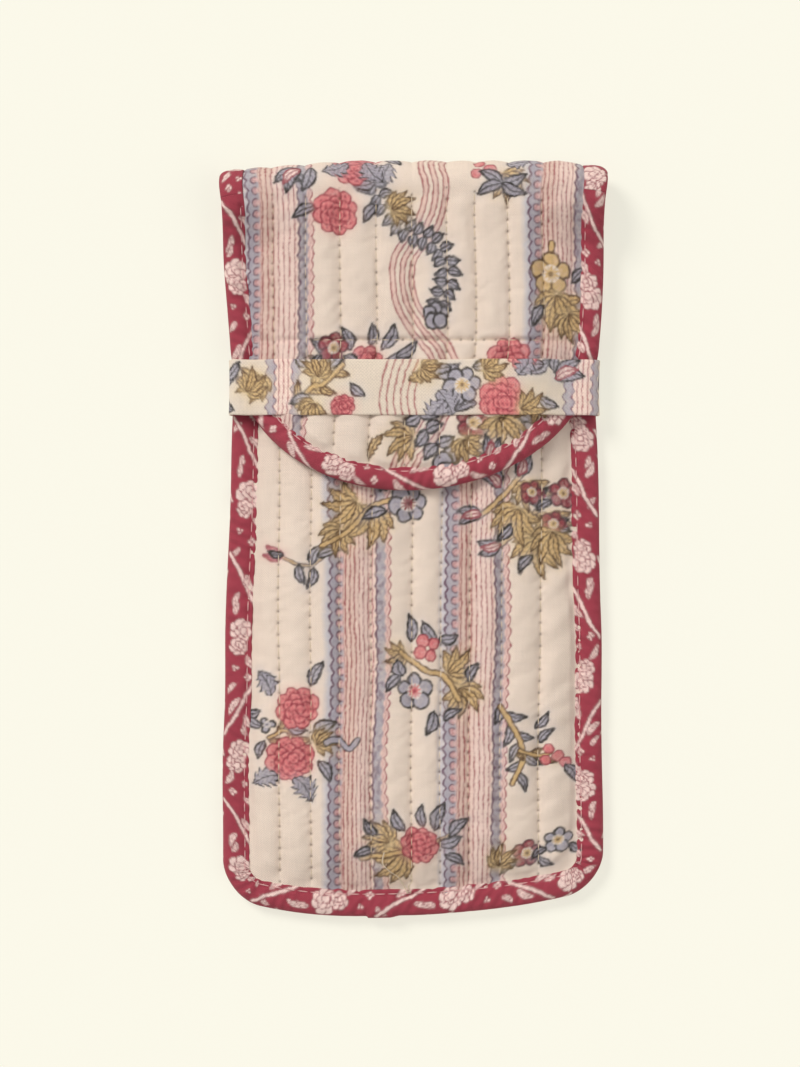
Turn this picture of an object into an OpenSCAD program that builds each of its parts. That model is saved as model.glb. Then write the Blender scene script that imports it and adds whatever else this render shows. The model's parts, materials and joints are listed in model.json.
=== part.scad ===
// Soft quilted pouch for a pair of glasses, lying on its back with its flap closed under a strap.
// X runs across the pouch and +Y runs towards the fold of the flap. Z = 0 is the surface it lies on.
// Cloth layers of one body are a hair apart, and the flap keeps a wider clearance over the pouch.

/* [Pouch] */
// Width of the pouch over its bound edges
pouch_w = 100; // [96:1:106]
// Length of the closed pouch from its bottom edge to the fold
pouch_l = 195; // [185:1:205]
// How far each side draws in at the waist
waist_in = 2.4; // [0:0.2:3]
// Distance from the fold to the narrowest place
waist_drop = 66; // [60:1:75]
// Radius of the bottom corners
corner_r = 10; // [9:0.5:12]
// Height of the empty pocket at its middle
pocket_h = 5.1; // [5:0.1:6]
// Distance from the fold to the pocket's mouth
mouth_drop = 22.5; // [20:0.5:24]

/* [Flap] */
// Distance from the fold to the tip of the flap
flap_l = 84.5; // [80:0.5:90]
// Distance from the fold to where the flap's end starts to curve
flap_straight = 46.5; // [44:0.5:50]
// Distance from the fold to the stitched line across the flap
cross_stitch_drop = 46.5; // [40:0.5:47]

/* [Closing band] */
// Width of the band
band_w = 14.3; // [12:0.1:16]
// Distance from the fold to the band's upper edge
band_drop = 51; // [49:0.5:53]
// Thickness of the band's folded cotton
band_t = 0.7; // [0.6:0.05:0.8]

/* [Cloth] */
// Thickness of the printed cotton covers
cloth_t = 0.45; // [0.35:0.05:0.5]
// Thickness of the lining
lining_t = 0.4; // [0.3:0.05:0.4]
// Thickness of the wadding between seams
wadding_t = 1.3; // [1.2:0.1:1.6]
// Thickness of the wadding where a seam holds it
seam_wadding_t = 0.5; // [0.4:0.05:0.5]
// Thickness of the binding's folded cotton
bind_t = 0.55; // [0.4:0.05:0.6]
// Width of the binding round the pouch
bind_w = 7; // [6:0.5:7.5]
// Width of the binding round the flap and the pocket's mouth
flap_bind_w = 5.8; // [5:0.2:6]
// Distance between the quilting lines
quilt_pitch = 8.5; // [8:0.5:9]
// Thickness of the stitching thread
thread_t = 0.15; // [0.1:0.05:0.2]
// Width of the stitching thread
thread_w = 0.4; // [0.3:0.05:0.5]

/* [Hidden] */

cotton = [0.91, 0.86, 0.78];
raspberry = [0.65, 0.22, 0.31];
fleece = [0.96, 0.95, 0.92];
lining_cotton = [0.93, 0.89, 0.82];
cream_thread = [0.87, 0.79, 0.66];
pink_thread = [0.85, 0.55, 0.58];

// Air between flat layers of one body and inside a curved binding, clearance between bodies,
// and overshoot of a cutting shape
gap = 0.05;
seam_gap = 0.15;
clearance = 0.35;
over = 1;

// Places along the pouch
top_y = pouch_l / 2;
bottom_y = -pouch_l / 2;
waist_y = top_y - waist_drop;
mouth_y = top_y - mouth_drop;
tip_y = top_y - flap_l;
curve_y = top_y - flap_straight;
cross_y = top_y - cross_stitch_drop;
band_y1 = top_y - band_drop;
band_y0 = band_y1 - band_w;
low_waist_reach = 105;

// Heights in the back panel, which lies flat
rim_z = bind_t + gap;
lining_z = cloth_t + wadding_t + 2 * gap;
panel_t = lining_z + lining_t;
channel_z = band_t + gap;
channel_rim_z = channel_z + bind_t + gap;

// Heights in the front panel, at its seams
front_z = panel_t + gap;
front_wadding_z = front_z + lining_t + gap;
front_cover_z = front_wadding_z + seam_wadding_t + gap;
edge_top_z = front_cover_z + cloth_t + gap + bind_t;
bulge_rise = 20;
puff_rise = 6;
puff_h = wadding_t - seam_wadding_t;

// Heights in the flap: its lining over the bound edges, over the pocket and at the fold
thread_lift = gap + thread_t;
flap_edge_z = edge_top_z + thread_lift + clearance + bind_t + seam_gap;
crown_top_z = front_cover_z + cloth_t + pocket_h + puff_h;
flap_crown_z = crown_top_z + thread_lift + clearance + bind_t + seam_gap;
flap_top_z = flap_crown_z + panel_t + thread_lift;
fold_r = flap_top_z / 2 + gap;
fold_y = top_y - fold_r;
flap_fold_z = 2 * fold_r - panel_t;
flap_root_y = fold_y - clearance;
flap_end_half_w = half_w(curve_y);
flap_end_l = curve_y - tip_y;
flap_bind_top = lining_t + seam_wadding_t + cloth_t + 2 * gap + seam_gap + bind_t;

quilt_lines = [for (k = [-4:4]) k * quilt_pitch];
// Distances in from the side at which a panel's rows have points
insets = [0, 3.5, 7, 8.2, 10, 13, 17, 22, 28, 36];
groove_d = 0.25;
groove_w = 0.6;

function ease(t) = let (c = max(0, min(1, t))) c * c * (3 - 2 * c);
function pillow(t) = 1 - pow(1 - max(0, min(1, t)), 2.5);
function reverse(list) = [for (i = [len(list) - 1:-1:0]) list[i]];
function across(dx, dy) = dx <= 0 || dy <= 0 ? 0 : dx * dy / sqrt(dx * dx + dy * dy);

// Half of the pouch's width: widest at both ends, narrowest at the waist
function half_w(y) =
    let (reach = y > waist_y ? top_y - waist_y : low_waist_reach)
    pouch_w / 2 - waist_in * (0.5 + 0.5 * cos(180 * min(1, abs(y - waist_y) / reach)));

// Half of the width with the rounded bottom corners
function side_x(y) =
    let (d = bottom_y + corner_r - y)
    d <= 0 ? half_w(y) : half_w(y) - corner_r + sqrt(max(0, corner_r * corner_r - d * d));

// Height along the pouch of the bottom edge at x
function bottom_edge(x) =
    let (d = abs(x) - half_w(bottom_y) + corner_r)
    d <= 0 ? bottom_y : bottom_y + corner_r - sqrt(max(0, corner_r * corner_r - d * d));

// Half of the flap's width, an ellipse past curve_y
function flap_half(y) =
    y >= curve_y ? half_w(y)
                 : flap_end_half_w * sqrt(max(0, 1 - pow((curve_y - y) / flap_end_l, 2)));
function flap_edge(x) =
    curve_y - flap_end_l * sqrt(max(0, 1 - pow(x / flap_end_half_w, 2)));

// Distance in from the edge of the pouch, and of the flap
function pouch_inset(x, y) = across(side_x(y) - abs(x), y - bottom_edge(x));
function flap_inset(x, y) = across(flap_half(y) - abs(x), y - flap_edge(x));

// Share of the full bulge of the front panel: 0 at its seams, 1 over the middle, with a soft start
function bulge(x, y) =
    let (t = max(0, (pouch_inset(x, y) - bind_w - 0.4) / bulge_rise)) pillow(t * t / (t + 0.08));
function front_rise(x, y) = pocket_h * bulge(x, y);
function front_puff(x, y) =
    let (inside = min(pouch_inset(x, y) - bind_w - 0.4, front_seam_y - y))
    puff_h * ease(inside / puff_rise);
function front_top(x, y) = front_cover_z + cloth_t + front_rise(x, y) + front_puff(x, y);

// Underside of the flap's lining, which climbs to the fold past the pocket's mouth
function flap_low(x, y) =
    let (lying = flap_edge_z + (flap_crown_z - flap_edge_z) * bulge(x, y),
         climb = ease((y - mouth_y) / (flap_root_y - mouth_y)))
    lying + (flap_fold_z - lying) * climb;
function flap_wadding_h(x, y) =
    seam_wadding_t + puff_h * ease((flap_inset(x, y) - flap_bind_w - 1.6) / puff_rise);
function flap_top(x, y) = flap_low(x, y) + lining_t + flap_wadding_h(x, y) + cloth_t + 2 * gap;

// Closed solid through rings of points, each ring with the same even number of points.
// Point j of a ring lies across the cloth from point n - 1 - j, so strips close the two ends.
module loft(rings) {
    n = len(rings[0]);
    m = len(rings);
    points = [for (ring = rings) each ring];
    skin = [
        for (i = [0:m - 2]) for (j = [0:n - 1])
            let (a = i * n + j, b = i * n + (j + 1) % n)
            each (j < n / 2 ? [[a, b, b + n], [a, b + n, a + n]] : [[a, b, a + n], [b, b + n, a + n]])
    ];
    strips = [for (j = [0:n / 2 - 2]) [j, j + 1, n - 2 - j, n - 1 - j]];
    first_cap = [for (q = strips) each [[q[0], q[2], q[1]], [q[0], q[3], q[2]]]];
    move = [1, 1, 1] * (m - 1) * n;
    last_cap = [for (q = strips) each [[q[0], q[1], q[2]] + move, [q[0], q[2], q[3]] + move]];
    polyhedron(points, concat(first_cap, skin, last_cap));
}

// Places across a row [y, half width], from its side to the middle
function row_xs(row) = [for (d = insets) row[1] * (1 - d / (pouch_w / 2))];

// Height at x on a row of a faceted layer
function row_z(row, x, height) =
    lookup(abs(x), concat([[0, height(0, row[0])]],
                          [for (c = reverse(row_xs(row))) [c, height(c, row[0])]]));

// Cloth layer between two height functions, over rows [y, half width]
module layer(rows, low, high) {
    loft([
        for (row = rows)
            let (y = row[0], right = row_xs(row), xs = concat([for (x = right) -x], [0], reverse(right)))
            concat([for (x = xs) [x, y, low(x, y)]], [for (x = reverse(xs)) [x, y, high(x, y)]])
    ]);
}

// Outline of the pouch, moved in by an inset and cut off at upper_y
module pouch_outline(inset, upper_y) {
    straight = [for (k = [0:12]) bottom_y + corner_r + (upper_y - bottom_y - corner_r) * k / 12];
    corner_x = half_w(bottom_y + corner_r) - corner_r;
    right = concat(
        [for (a = [-90:15:-15])
            [corner_x + (corner_r - inset) * cos(a), bottom_y + corner_r + (corner_r - inset) * sin(a)]],
        [for (y = straight) [half_w(y) - inset, y]]
    );
    polygon(concat(right, [for (p = reverse(right)) [-p[0], p[1]]]));
}

// Slab of the pouch's outline between two heights
module slab(inset, upper_y, z0, z1) {
    translate([0, 0, z0]) linear_extrude(z1 - z0) pouch_outline(inset, upper_y);
}

// Room for the band where it crosses the back, widened by lift
module band_channel(lift) {
    margin = gap + lift;
    translate([-pouch_w, band_y0 - margin, -over])
        cube([2 * pouch_w, band_w + 2 * margin, over + channel_z + lift]);
}

// Room for the band and the binding over it at both sides, up to upper_z
module band_rim_channel(lift, upper_z) {
    margin = bind_t + 2 * gap + lift;
    start_x = min(half_w(band_y0), half_w(band_y1)) - bind_w - 2 * gap - lift;
    for (side = [0, 1]) mirror([side, 0, 0])
        translate([start_x, band_y0 - margin, -over])
            cube([pouch_w, band_w + 2 * margin, over + upper_z]);
}

// Back panel above its outer face moved up by lift: thick inside, thin under the binding
module back_block(lift, upper_y, top_z, side_cut_z) {
    difference() {
        union() {
            slab(bind_w + gap + lift, upper_y, lift, top_z);
            slab(rim_z, upper_y, rim_z + lift, top_z);
        }
        band_channel(lift);
        band_rim_channel(lift, side_cut_z);
    }
}

// Straight bars along the back's quilting lines, clear of the band
module back_lines(w, z0, z1) {
    stretches = [[bottom_y + bind_w + 2, band_y0 - 2], [band_y1 + 2, fold_y - 2]];
    for (x = quilt_lines, s = stretches)
        translate([x - w / 2, s[0], z0]) cube([w, s[1] - s[0], z1 - z0]);
}

module back_cover() {
    color(cotton) difference() {
        back_block(0, fold_y - gap, lining_z - gap, channel_rim_z);
        back_block(cloth_t, fold_y + over, lining_z + over, lining_z + 2 * over);
        back_lines(groove_w, -over, groove_d);
    }
}

module back_wadding() {
    lift = cloth_t + gap;
    color(fleece) back_block(lift, fold_y - gap, lining_z - gap, lining_z + over);
}

module back_lining() {
    color(lining_cotton) slab(rim_z, fold_y - gap, lining_z, lining_z + lining_t);
}

module back_quilting() {
    color(cream_thread) back_lines(thread_w, gap, gap + thread_t);
}

front_end_y = mouth_y - bind_t - seam_gap;
front_seam_y = mouth_y - flap_bind_w - 0.4;
mouth_reach = half_w(mouth_y - flap_bind_w) - bind_w - 3.2;
front_rows = [
    for (a = [0:18:90])
        let (y = bottom_y + corner_r - (corner_r - rim_z) * cos(a))
        [y, half_w(y) - corner_r + (corner_r - rim_z) * sin(a)],
    for (y = [bottom_y + corner_r + 4:6:bottom_y + 44]) [y, half_w(y) - rim_z],
    for (k = [1:12])
        let (start = bottom_y + 44, y = start + (front_seam_y - puff_rise - start) * k / 12)
        [y, half_w(y) - rim_z],
    for (y = [front_seam_y - puff_rise / 2, front_seam_y, front_end_y]) [y, half_w(y) - rim_z]
];

module front_lining() {
    color(lining_cotton) layer(
        front_rows,
        function (x, y) front_z + front_rise(x, y),
        function (x, y) front_z + lining_t + front_rise(x, y)
    );
}

module front_wadding() {
    color(fleece) layer(
        front_rows,
        function (x, y) front_wadding_z + front_rise(x, y),
        function (x, y) front_wadding_z + seam_wadding_t + front_rise(x, y) + front_puff(x, y)
    );
}

module front_cover() {
    color(cotton) layer(
        front_rows,
        function (x, y) front_top(x, y) - cloth_t,
        function (x, y) front_top(x, y)
    );
}

// Thread between two lines of [x, y, z] points, at the cloth's height
module surface_thread(left, right) {
    low = [0, 0, 2 * gap];
    high = [0, 0, 2 * gap + thread_t];
    loft([
        for (i = [0:len(left) - 1])
            [left[i] + low, right[i] + low, right[i] + high, left[i] + high]
    ]);
}

// Thread down the rows of a layer at x, as high as the cloth's middle
module row_thread(rows, x, height) {
    w = thread_w / 2;
    surface_thread(
        [for (row = rows) [x + w, row[0], row_z(row, x, height)]],
        [for (row = rows) [x - w, row[0], row_z(row, x, height)]]
    );
}

module front_quilting() {
    rows = [for (row = front_rows) if (row[0] > bottom_y + bind_w + 2.9 && row[0] < front_seam_y + gap) row];
    color(cream_thread) for (x = quilt_lines) row_thread(rows, x, function (x, y) front_top(x, y));
}

// Folded binding over the pocket's mouth, as far as the front stands off the back
module mouth_binding() {
    low = front_z - seam_gap - bind_t;
    high = front_cover_z + cloth_t + seam_gap + bind_t;
    inner = mouth_y - flap_bind_w;
    profile = [
        [inner, low], [mouth_y, low], [mouth_y, high], [inner, high],
        [inner, high - bind_t], [mouth_y - bind_t, high - bind_t],
        [mouth_y - bind_t, low + bind_t], [inner, low + bind_t]
    ];
    columns = [for (x = row_xs([front_end_y, half_w(front_end_y) - rim_z])) if (x < mouth_reach - over) x];
    right = concat([mouth_reach], columns);
    color(raspberry) loft([
        for (x = concat(right, [0], [for (c = reverse(right)) -c]))
            [for (p = profile) [x, p[0], p[1] + front_rise(x, p[0])]]
    ]);
}

// Binding round the sides and bottom, folded over the back and front panels together,
// and over the back panel alone above the pocket's mouth
module edge_binding() {
    end_y = fold_y - gap;
    back_leg_z = panel_t + gap;
    color(raspberry) {
        difference() {
            union() {
                slab(0, end_y, 0, back_leg_z + bind_t);
                slab(0, mouth_y, 0, edge_top_z);
            }
            slab(bind_w, end_y + over, -over, edge_top_z + over);
            difference() {
                slab(bind_t, end_y + over, bind_t, edge_top_z - bind_t);
                translate([-pouch_w, mouth_y, back_leg_z])
                    cube([2 * pouch_w, pouch_w, edge_top_z]);
            }
            band_channel(0);
        }
        difference() {
            intersection() {
                slab(bind_t / 2, end_y, channel_z, channel_z + bind_t);
                band_channel(bind_t);
            }
            slab(bind_w, end_y + over, -over, edge_top_z + over);
        }
    }
}

// Topstitching near the inner edge of the edge binding
module edge_stitching() {
    inset = bind_w - 1.2;
    color(pink_thread) difference() {
        slab(inset - thread_w / 2, mouth_y - 1, edge_top_z + gap, edge_top_z + gap + thread_t);
        slab(inset + thread_w / 2, mouth_y + over, edge_top_z - over, edge_top_z + over);
    }
}

// Strap in a closed loop round the pouch and the flap
module closing_band() {
    inner_half = half_w(band_y1) + gap;
    edge_z = flap_edge_z + flap_bind_top + thread_lift;
    crown_z = flap_top_z;
    function over_flap(x) = clearance + edge_z + (crown_z - edge_z) * bulge(x, band_y1);
    xs = [for (k = [0:36]) inner_half * sin(-90 + 5 * k)];
    inner = concat([[-inner_half, band_t]], [for (x = xs) [x, over_flap(x)]], [[inner_half, band_t]]);
    stretch = (inner_half + band_t) / inner_half;
    outer = concat(
        [[-inner_half - band_t, 0]],
        [for (x = xs) [x * stretch, over_flap(x) + band_t]],
        [[inner_half + band_t, 0]]
    );
    color(cotton) translate([0, band_y1, 0]) rotate([90, 0, 0]) linear_extrude(band_w)
        difference() {
            polygon(outer);
            polygon(inner);
        }
}

// Half turn round the fold's axis of a shape drawn as [x, distance from the axis]
module half_turn() {
    translate([0, fold_y, fold_r]) rotate([0, 90, 0])
        intersection() {
            children();
            translate([-pouch_w, 0, -pouch_w]) cube(2 * pouch_w);
        }
}

// Part of a tube along X between two radii
module tube_part(r_out, r_in, half_length) {
    translate([0, 0, -half_length]) linear_extrude(2 * half_length) difference() {
        circle(r = r_out, $fn = 96);
        circle(r = r_in, $fn = 96);
    }
}

fold_half_w = half_w(fold_y);

module fold_cover() {
    color(cotton) half_turn() difference() {
        tube_part(fold_r, fold_r - rim_z - cloth_t, fold_half_w - rim_z);
        tube_part(fold_r - cloth_t, 1, fold_half_w - bind_w - cloth_t);
        for (side = [-1, 1])
            translate([0, 0, side * (fold_half_w - bind_w / 2)])
                tube_part(fold_r + over, fold_r - rim_z, bind_w / 2);
    }
}

module fold_wadding() {
    r = fold_r - cloth_t - gap;
    color(fleece) half_turn() difference() {
        tube_part(r, fold_r - lining_z + gap, fold_half_w - rim_z);
        for (side = [-1, 1])
            translate([0, 0, side * (fold_half_w - bind_w / 2)])
                tube_part(r + over, r - rim_z, bind_w / 2 + cloth_t + gap);
    }
}

module fold_lining() {
    color(lining_cotton) half_turn()
        tube_part(fold_r - lining_z, fold_r - lining_z - lining_t, fold_half_w - rim_z);
}

// Binding over both edges of the fold
module fold_binding() {
    r_in = fold_r - panel_t - gap - bind_t;
    color(raspberry) half_turn() for (side = [-1, 1])
        translate([0, 0, side * (fold_half_w - bind_w / 2)]) difference() {
            tube_part(fold_r, r_in, bind_w / 2);
            translate([0, 0, -side * bind_t])
                tube_part(fold_r - bind_t, r_in + bind_t, bind_w / 2);
        }
}

flap_rim = bind_t + seam_gap;
flap_rows = [
    for (a = [88, 84, each [78:-6:6]])
        [curve_y - (flap_end_l - flap_rim) * sin(a), (flap_end_half_w - flap_rim) * cos(a)],
    for (k = [0:12])
        let (y = curve_y + (flap_root_y - curve_y) * k / 12)
        [y, half_w(y) - flap_rim]
];

module flap_lining() {
    color(lining_cotton) layer(
        flap_rows,
        function (x, y) flap_low(x, y),
        function (x, y) flap_low(x, y) + lining_t
    );
}

module flap_wadding() {
    color(fleece) layer(
        flap_rows,
        function (x, y) flap_low(x, y) + lining_t + gap,
        function (x, y) flap_low(x, y) + lining_t + gap + flap_wadding_h(x, y)
    );
}

module flap_cover() {
    color(cotton) layer(
        flap_rows,
        function (x, y) flap_top(x, y) - cloth_t,
        function (x, y) flap_top(x, y)
    );
}

// Points [x, y] at an inset from the flap's edge, from the fold down the left side and back up
function flap_path(inset) = concat(
    [for (k = [0:11]) let (y = flap_root_y + (curve_y - flap_root_y) * k / 12) [inset - half_w(y), y]],
    [for (a = [0:4.5:180])
        let (n = [flap_end_l * cos(a), flap_end_half_w * sin(a)])
        [-flap_end_half_w * cos(a), curve_y - flap_end_l * sin(a)] + inset * n / norm(n)],
    [for (k = [11:-1:0]) let (y = flap_root_y + (curve_y - flap_root_y) * k / 12) [half_w(y) - inset, y]]
);

// Binding folded over the flap's sides and curved end
module flap_binding() {
    high = flap_bind_top;
    low = -seam_gap - bind_t;
    mid = flap_bind_w / 2;
    profile = [
        [flap_bind_w, low], [mid, low], [0, low], [0, high], [mid, high], [flap_bind_w, high],
        [flap_bind_w, high - bind_t], [mid, high - bind_t], [bind_t, high - bind_t],
        [bind_t, low + bind_t], [mid, low + bind_t], [flap_bind_w, low + bind_t]
    ];
    paths = [for (p = profile) flap_path(p[0])];
    color(raspberry) loft([
        for (i = [0:len(paths[0]) - 1])
            [for (j = [0:len(profile) - 1])
                let (q = paths[j][i]) [q[0], q[1], profile[j][1] + flap_low(q[0], q[1])]]
    ]);
}

// Topstitching near the inner edge of the flap's binding, on the facets between its middle and edge
module flap_stitching() {
    outer = flap_path(flap_bind_w / 2);
    inner = flap_path(flap_bind_w);
    function on_top(p) = [p[0], p[1], flap_bind_top + gap + flap_low(p[0], p[1])];
    function between(t) = [
        for (i = [0:len(outer) - 1]) on_top(outer[i]) * (1 - t) + on_top(inner[i]) * t
    ];
    middle = 1 - 2 / flap_bind_w;
    color(pink_thread) surface_thread(
        between(middle - thread_w / flap_bind_w),
        between(middle + thread_w / flap_bind_w)
    );
}

// Quilting of the flap: lines down it, and one line across between them
module flap_quilting() {
    on_cover = function (x, y) flap_top(x, y);
    cross_row = [cross_y, half_w(cross_y) - flap_rim];
    w = thread_w / 2;
    step = (quilt_pitch - 2 * thread_w) / 6;
    function inside(x, y) = flap_inset(abs(x) + thread_w, y) > flap_bind_w + 0.5 && y < flap_root_y - 0.5;
    color(cream_thread) {
        for (x = quilt_lines)
            row_thread([for (row = flap_rows) if (inside(x, row[0])) row], x, on_cover);
        for (k = [0:7])
            let (xs = [for (i = [0:6]) quilt_lines[k] + thread_w + step * i],
                 line = [for (x = xs) [x, cross_y, row_z(cross_row, x, on_cover)]])
            surface_thread([for (p = line) p - [0, w, 0]], [for (p = line) p + [0, w, 0]]);
    }
}

back_cover();
back_wadding();
back_lining();
back_quilting();
front_cover();
front_wadding();
front_lining();
front_quilting();
mouth_binding();
edge_binding();
edge_stitching();
closing_band();
fold_cover();
fold_wadding();
fold_lining();
fold_binding();
flap_cover();
flap_wadding();
flap_lining();
flap_binding();
flap_quilting();
flap_stitching();
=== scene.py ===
"""Soft quilted cotton pouch for glasses: printed covers, bound edges, a fold-over flap and a closing band.

The CAD frame gives the outer sizes and the hinge. The cloth is built here. The front and flap covers are
swelled between their stitch lines partly by cloth simulation, and the other pieces by formula only.
The floral stripe is drawn by code onto the cloth's own points.
Lengths in this script are in millimetres until a mesh is made.
"""
import json
import math

import bmesh
import bpy
import numpy as np
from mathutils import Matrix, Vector

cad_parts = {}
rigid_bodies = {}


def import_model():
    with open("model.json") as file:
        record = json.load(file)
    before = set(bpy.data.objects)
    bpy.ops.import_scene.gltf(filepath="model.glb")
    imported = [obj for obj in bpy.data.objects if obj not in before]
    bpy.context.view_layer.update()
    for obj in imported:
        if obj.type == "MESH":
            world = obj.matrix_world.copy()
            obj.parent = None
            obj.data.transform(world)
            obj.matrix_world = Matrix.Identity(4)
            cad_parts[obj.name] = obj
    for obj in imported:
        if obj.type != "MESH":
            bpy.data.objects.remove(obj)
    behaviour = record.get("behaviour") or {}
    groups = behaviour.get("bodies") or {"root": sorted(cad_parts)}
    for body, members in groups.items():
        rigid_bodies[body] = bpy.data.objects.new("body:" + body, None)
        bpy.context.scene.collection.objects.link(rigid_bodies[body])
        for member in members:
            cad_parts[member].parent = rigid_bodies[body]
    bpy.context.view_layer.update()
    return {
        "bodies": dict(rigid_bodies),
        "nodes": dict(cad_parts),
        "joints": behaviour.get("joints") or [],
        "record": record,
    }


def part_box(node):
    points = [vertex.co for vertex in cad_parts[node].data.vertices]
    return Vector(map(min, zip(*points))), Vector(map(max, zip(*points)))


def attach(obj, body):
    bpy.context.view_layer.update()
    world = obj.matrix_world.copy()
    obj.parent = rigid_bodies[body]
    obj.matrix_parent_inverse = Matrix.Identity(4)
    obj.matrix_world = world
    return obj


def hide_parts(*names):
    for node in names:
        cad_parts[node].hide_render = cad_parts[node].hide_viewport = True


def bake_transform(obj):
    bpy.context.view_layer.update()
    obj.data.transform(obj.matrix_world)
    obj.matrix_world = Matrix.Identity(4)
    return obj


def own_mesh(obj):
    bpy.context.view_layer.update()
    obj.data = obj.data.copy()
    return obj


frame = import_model()
MM = 0.001
PI = math.pi


def box_mm(node):
    low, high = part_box(node)
    return [c / MM for c in low], [c / MM for c in high]


# ---------------------------------------------------------------- sizes
# From the frame, with OVER_BAND the height that the pouch's back is lifted to where the band passes under it
EDGE_LO, EDGE_HI = box_mm("edge_binding")
BAND_LO, BAND_HI = box_mm("closing_band")
BAND_Y, BAND_HALF = (BAND_LO[1] + BAND_HI[1]) / 2, (BAND_HI[1] - BAND_LO[1]) / 2
OVER_BAND = 0.95
WIDTH = EDGE_HI[0] - EDGE_LO[0]
BOTTOM = EDGE_LO[1]
TOP = -BOTTOM
MOUTH = box_mm("mouth_binding")[1][1]
TIP = box_mm("flap_binding")[0][1]
HINGE = [c / MM for c in frame["record"]["behaviour"]["joints"][0]["pos_m"]]
FOLD_Y, FOLD_R = HINGE[1], HINGE[2]

# The rest of the pouch's shape, as the CAD has it
WAIST_IN, WAIST_Y, LOW_WAIST_REACH = 2.4, TOP - 66, 105
CORNER_R = 10
POCKET_H = 5.1
BIND_W, FLAP_BIND_W = 7.0, 5.8
PANEL_T = 2.25
FRONT_Z = 2.3
FRONT_SEAM_Z = 3.75
FLAP_EDGE_Z, FLAP_CROWN_Z, FLAP_FOLD_Z = 5.6, 10.9, 2 * FOLD_R - PANEL_T
CURVE_Y = TOP - 46.5
ROOT_Y = FOLD_Y - 0.35
PANEL_HALF, PAD_HALF = 45.4, 44

# Places of the quilting lines on the front and on the flap, and of the line across the flap
FRONT_LINES = [-35.0, -26.7, -19.2, -11.0, -0.4, 7.1, 14.6, 22.8, 32.9]
FLAP_LINES = [-36.5, -28.0, -19.1, -9.7, -0.4, 8.6, 15.9, 24.5, 33.4]
CROSS_Y, CROSS_X = TOP - 46.0, (-29, 35)
QUILT_PITCH = 8.5

# Quilting stitches: pitch, length, the shift from line to line as a share of the pitch, and the thread
STITCH_PITCH, STITCH_LONG, STITCH_SHIFT = 3.0, 2.5, 0.37
THREAD = 0.30

# Steps of the meshes and of the print
FINE, COARSE = 0.30, 1.3
DOT = 0.18


# ---------------------------------------------------------------- small numeric helpers
def ease(t):
    c = np.clip(t, 0, 1)
    return c * c * (3 - 2 * c)


def hump(t, reach):
    return np.exp(-(t / reach) ** 2)


def spread(start, end, step):
    n = max(1, round(abs(end - start) / step))
    return np.linspace(start, end, n + 1)


def row_weights(count, t):
    """Catmull-Rom weights that read a row of count values at the fractional places t."""
    i = np.clip(np.floor(t).astype(int), 0, count - 2)
    f = t - i
    w = np.zeros((len(t), count))
    rows = np.arange(len(t))
    cubic = [
        (-1, -0.5 * f + f**2 - 0.5 * f**3),
        (0, 1 - 2.5 * f**2 + 1.5 * f**3),
        (1, 0.5 * f + 2 * f**2 - 1.5 * f**3),
        (2, -0.5 * f**2 + 0.5 * f**3),
    ]
    for shift, value in cubic:
        np.add.at(w, (rows, np.clip(i + shift, 0, count - 1)), value)
    return w


def noise_grid(height, width, cell, seed):
    """Smooth noise from -1 to 1 on a grid, with features about cell steps across."""
    rng = np.random.default_rng(seed)
    rows, cols = int(height / cell) + 3, int(width / cell) + 3
    coarse = rng.uniform(-1, 1, (rows, cols))
    across = row_weights(cols, np.arange(width) / cell)
    down = row_weights(rows, np.arange(height) / cell)
    return down @ coarse @ across.T


def noise_line(count, cell, seed):
    return noise_grid(1, count, cell, seed)[0]


def linear(srgb):
    c = np.asarray(srgb, float) / 255
    return np.where(c <= 0.04045, c / 12.92, ((c + 0.055) / 1.055) ** 2.4)


# ---------------------------------------------------------------- the pouch's outline and heights
def half_w(y):
    y = np.asarray(y, float)
    reach = np.where(y > WAIST_Y, TOP - WAIST_Y, LOW_WAIST_REACH)
    turn = np.minimum(1, np.abs(y - WAIST_Y) / reach)
    return WIDTH / 2 - WAIST_IN * (0.5 + 0.5 * np.cos(PI * turn))


def side_x(y):
    d = np.maximum(0, BOTTOM + CORNER_R - np.asarray(y, float))
    return half_w(y) - np.where(d > 0, CORNER_R - np.sqrt(np.maximum(0, CORNER_R**2 - d * d)), 0)


def bottom_edge(x):
    d = np.maximum(0, np.abs(x) - half_w(BOTTOM) + CORNER_R)
    return BOTTOM + CORNER_R - np.sqrt(np.maximum(0, CORNER_R**2 - d * d))


def pouch_inset(x, y):
    dx = np.maximum(1e-6, side_x(y) - np.abs(x))
    dy = np.maximum(1e-6, y - bottom_edge(x))
    return dx * dy / np.hypot(dx, dy)


def bulge(x, y):
    t = np.maximum(0, (pouch_inset(x, y) - BIND_W - 0.4) / 20)
    return 1 - (1 - np.minimum(1, t * t / (t + 0.08))) ** 2.5


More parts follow.
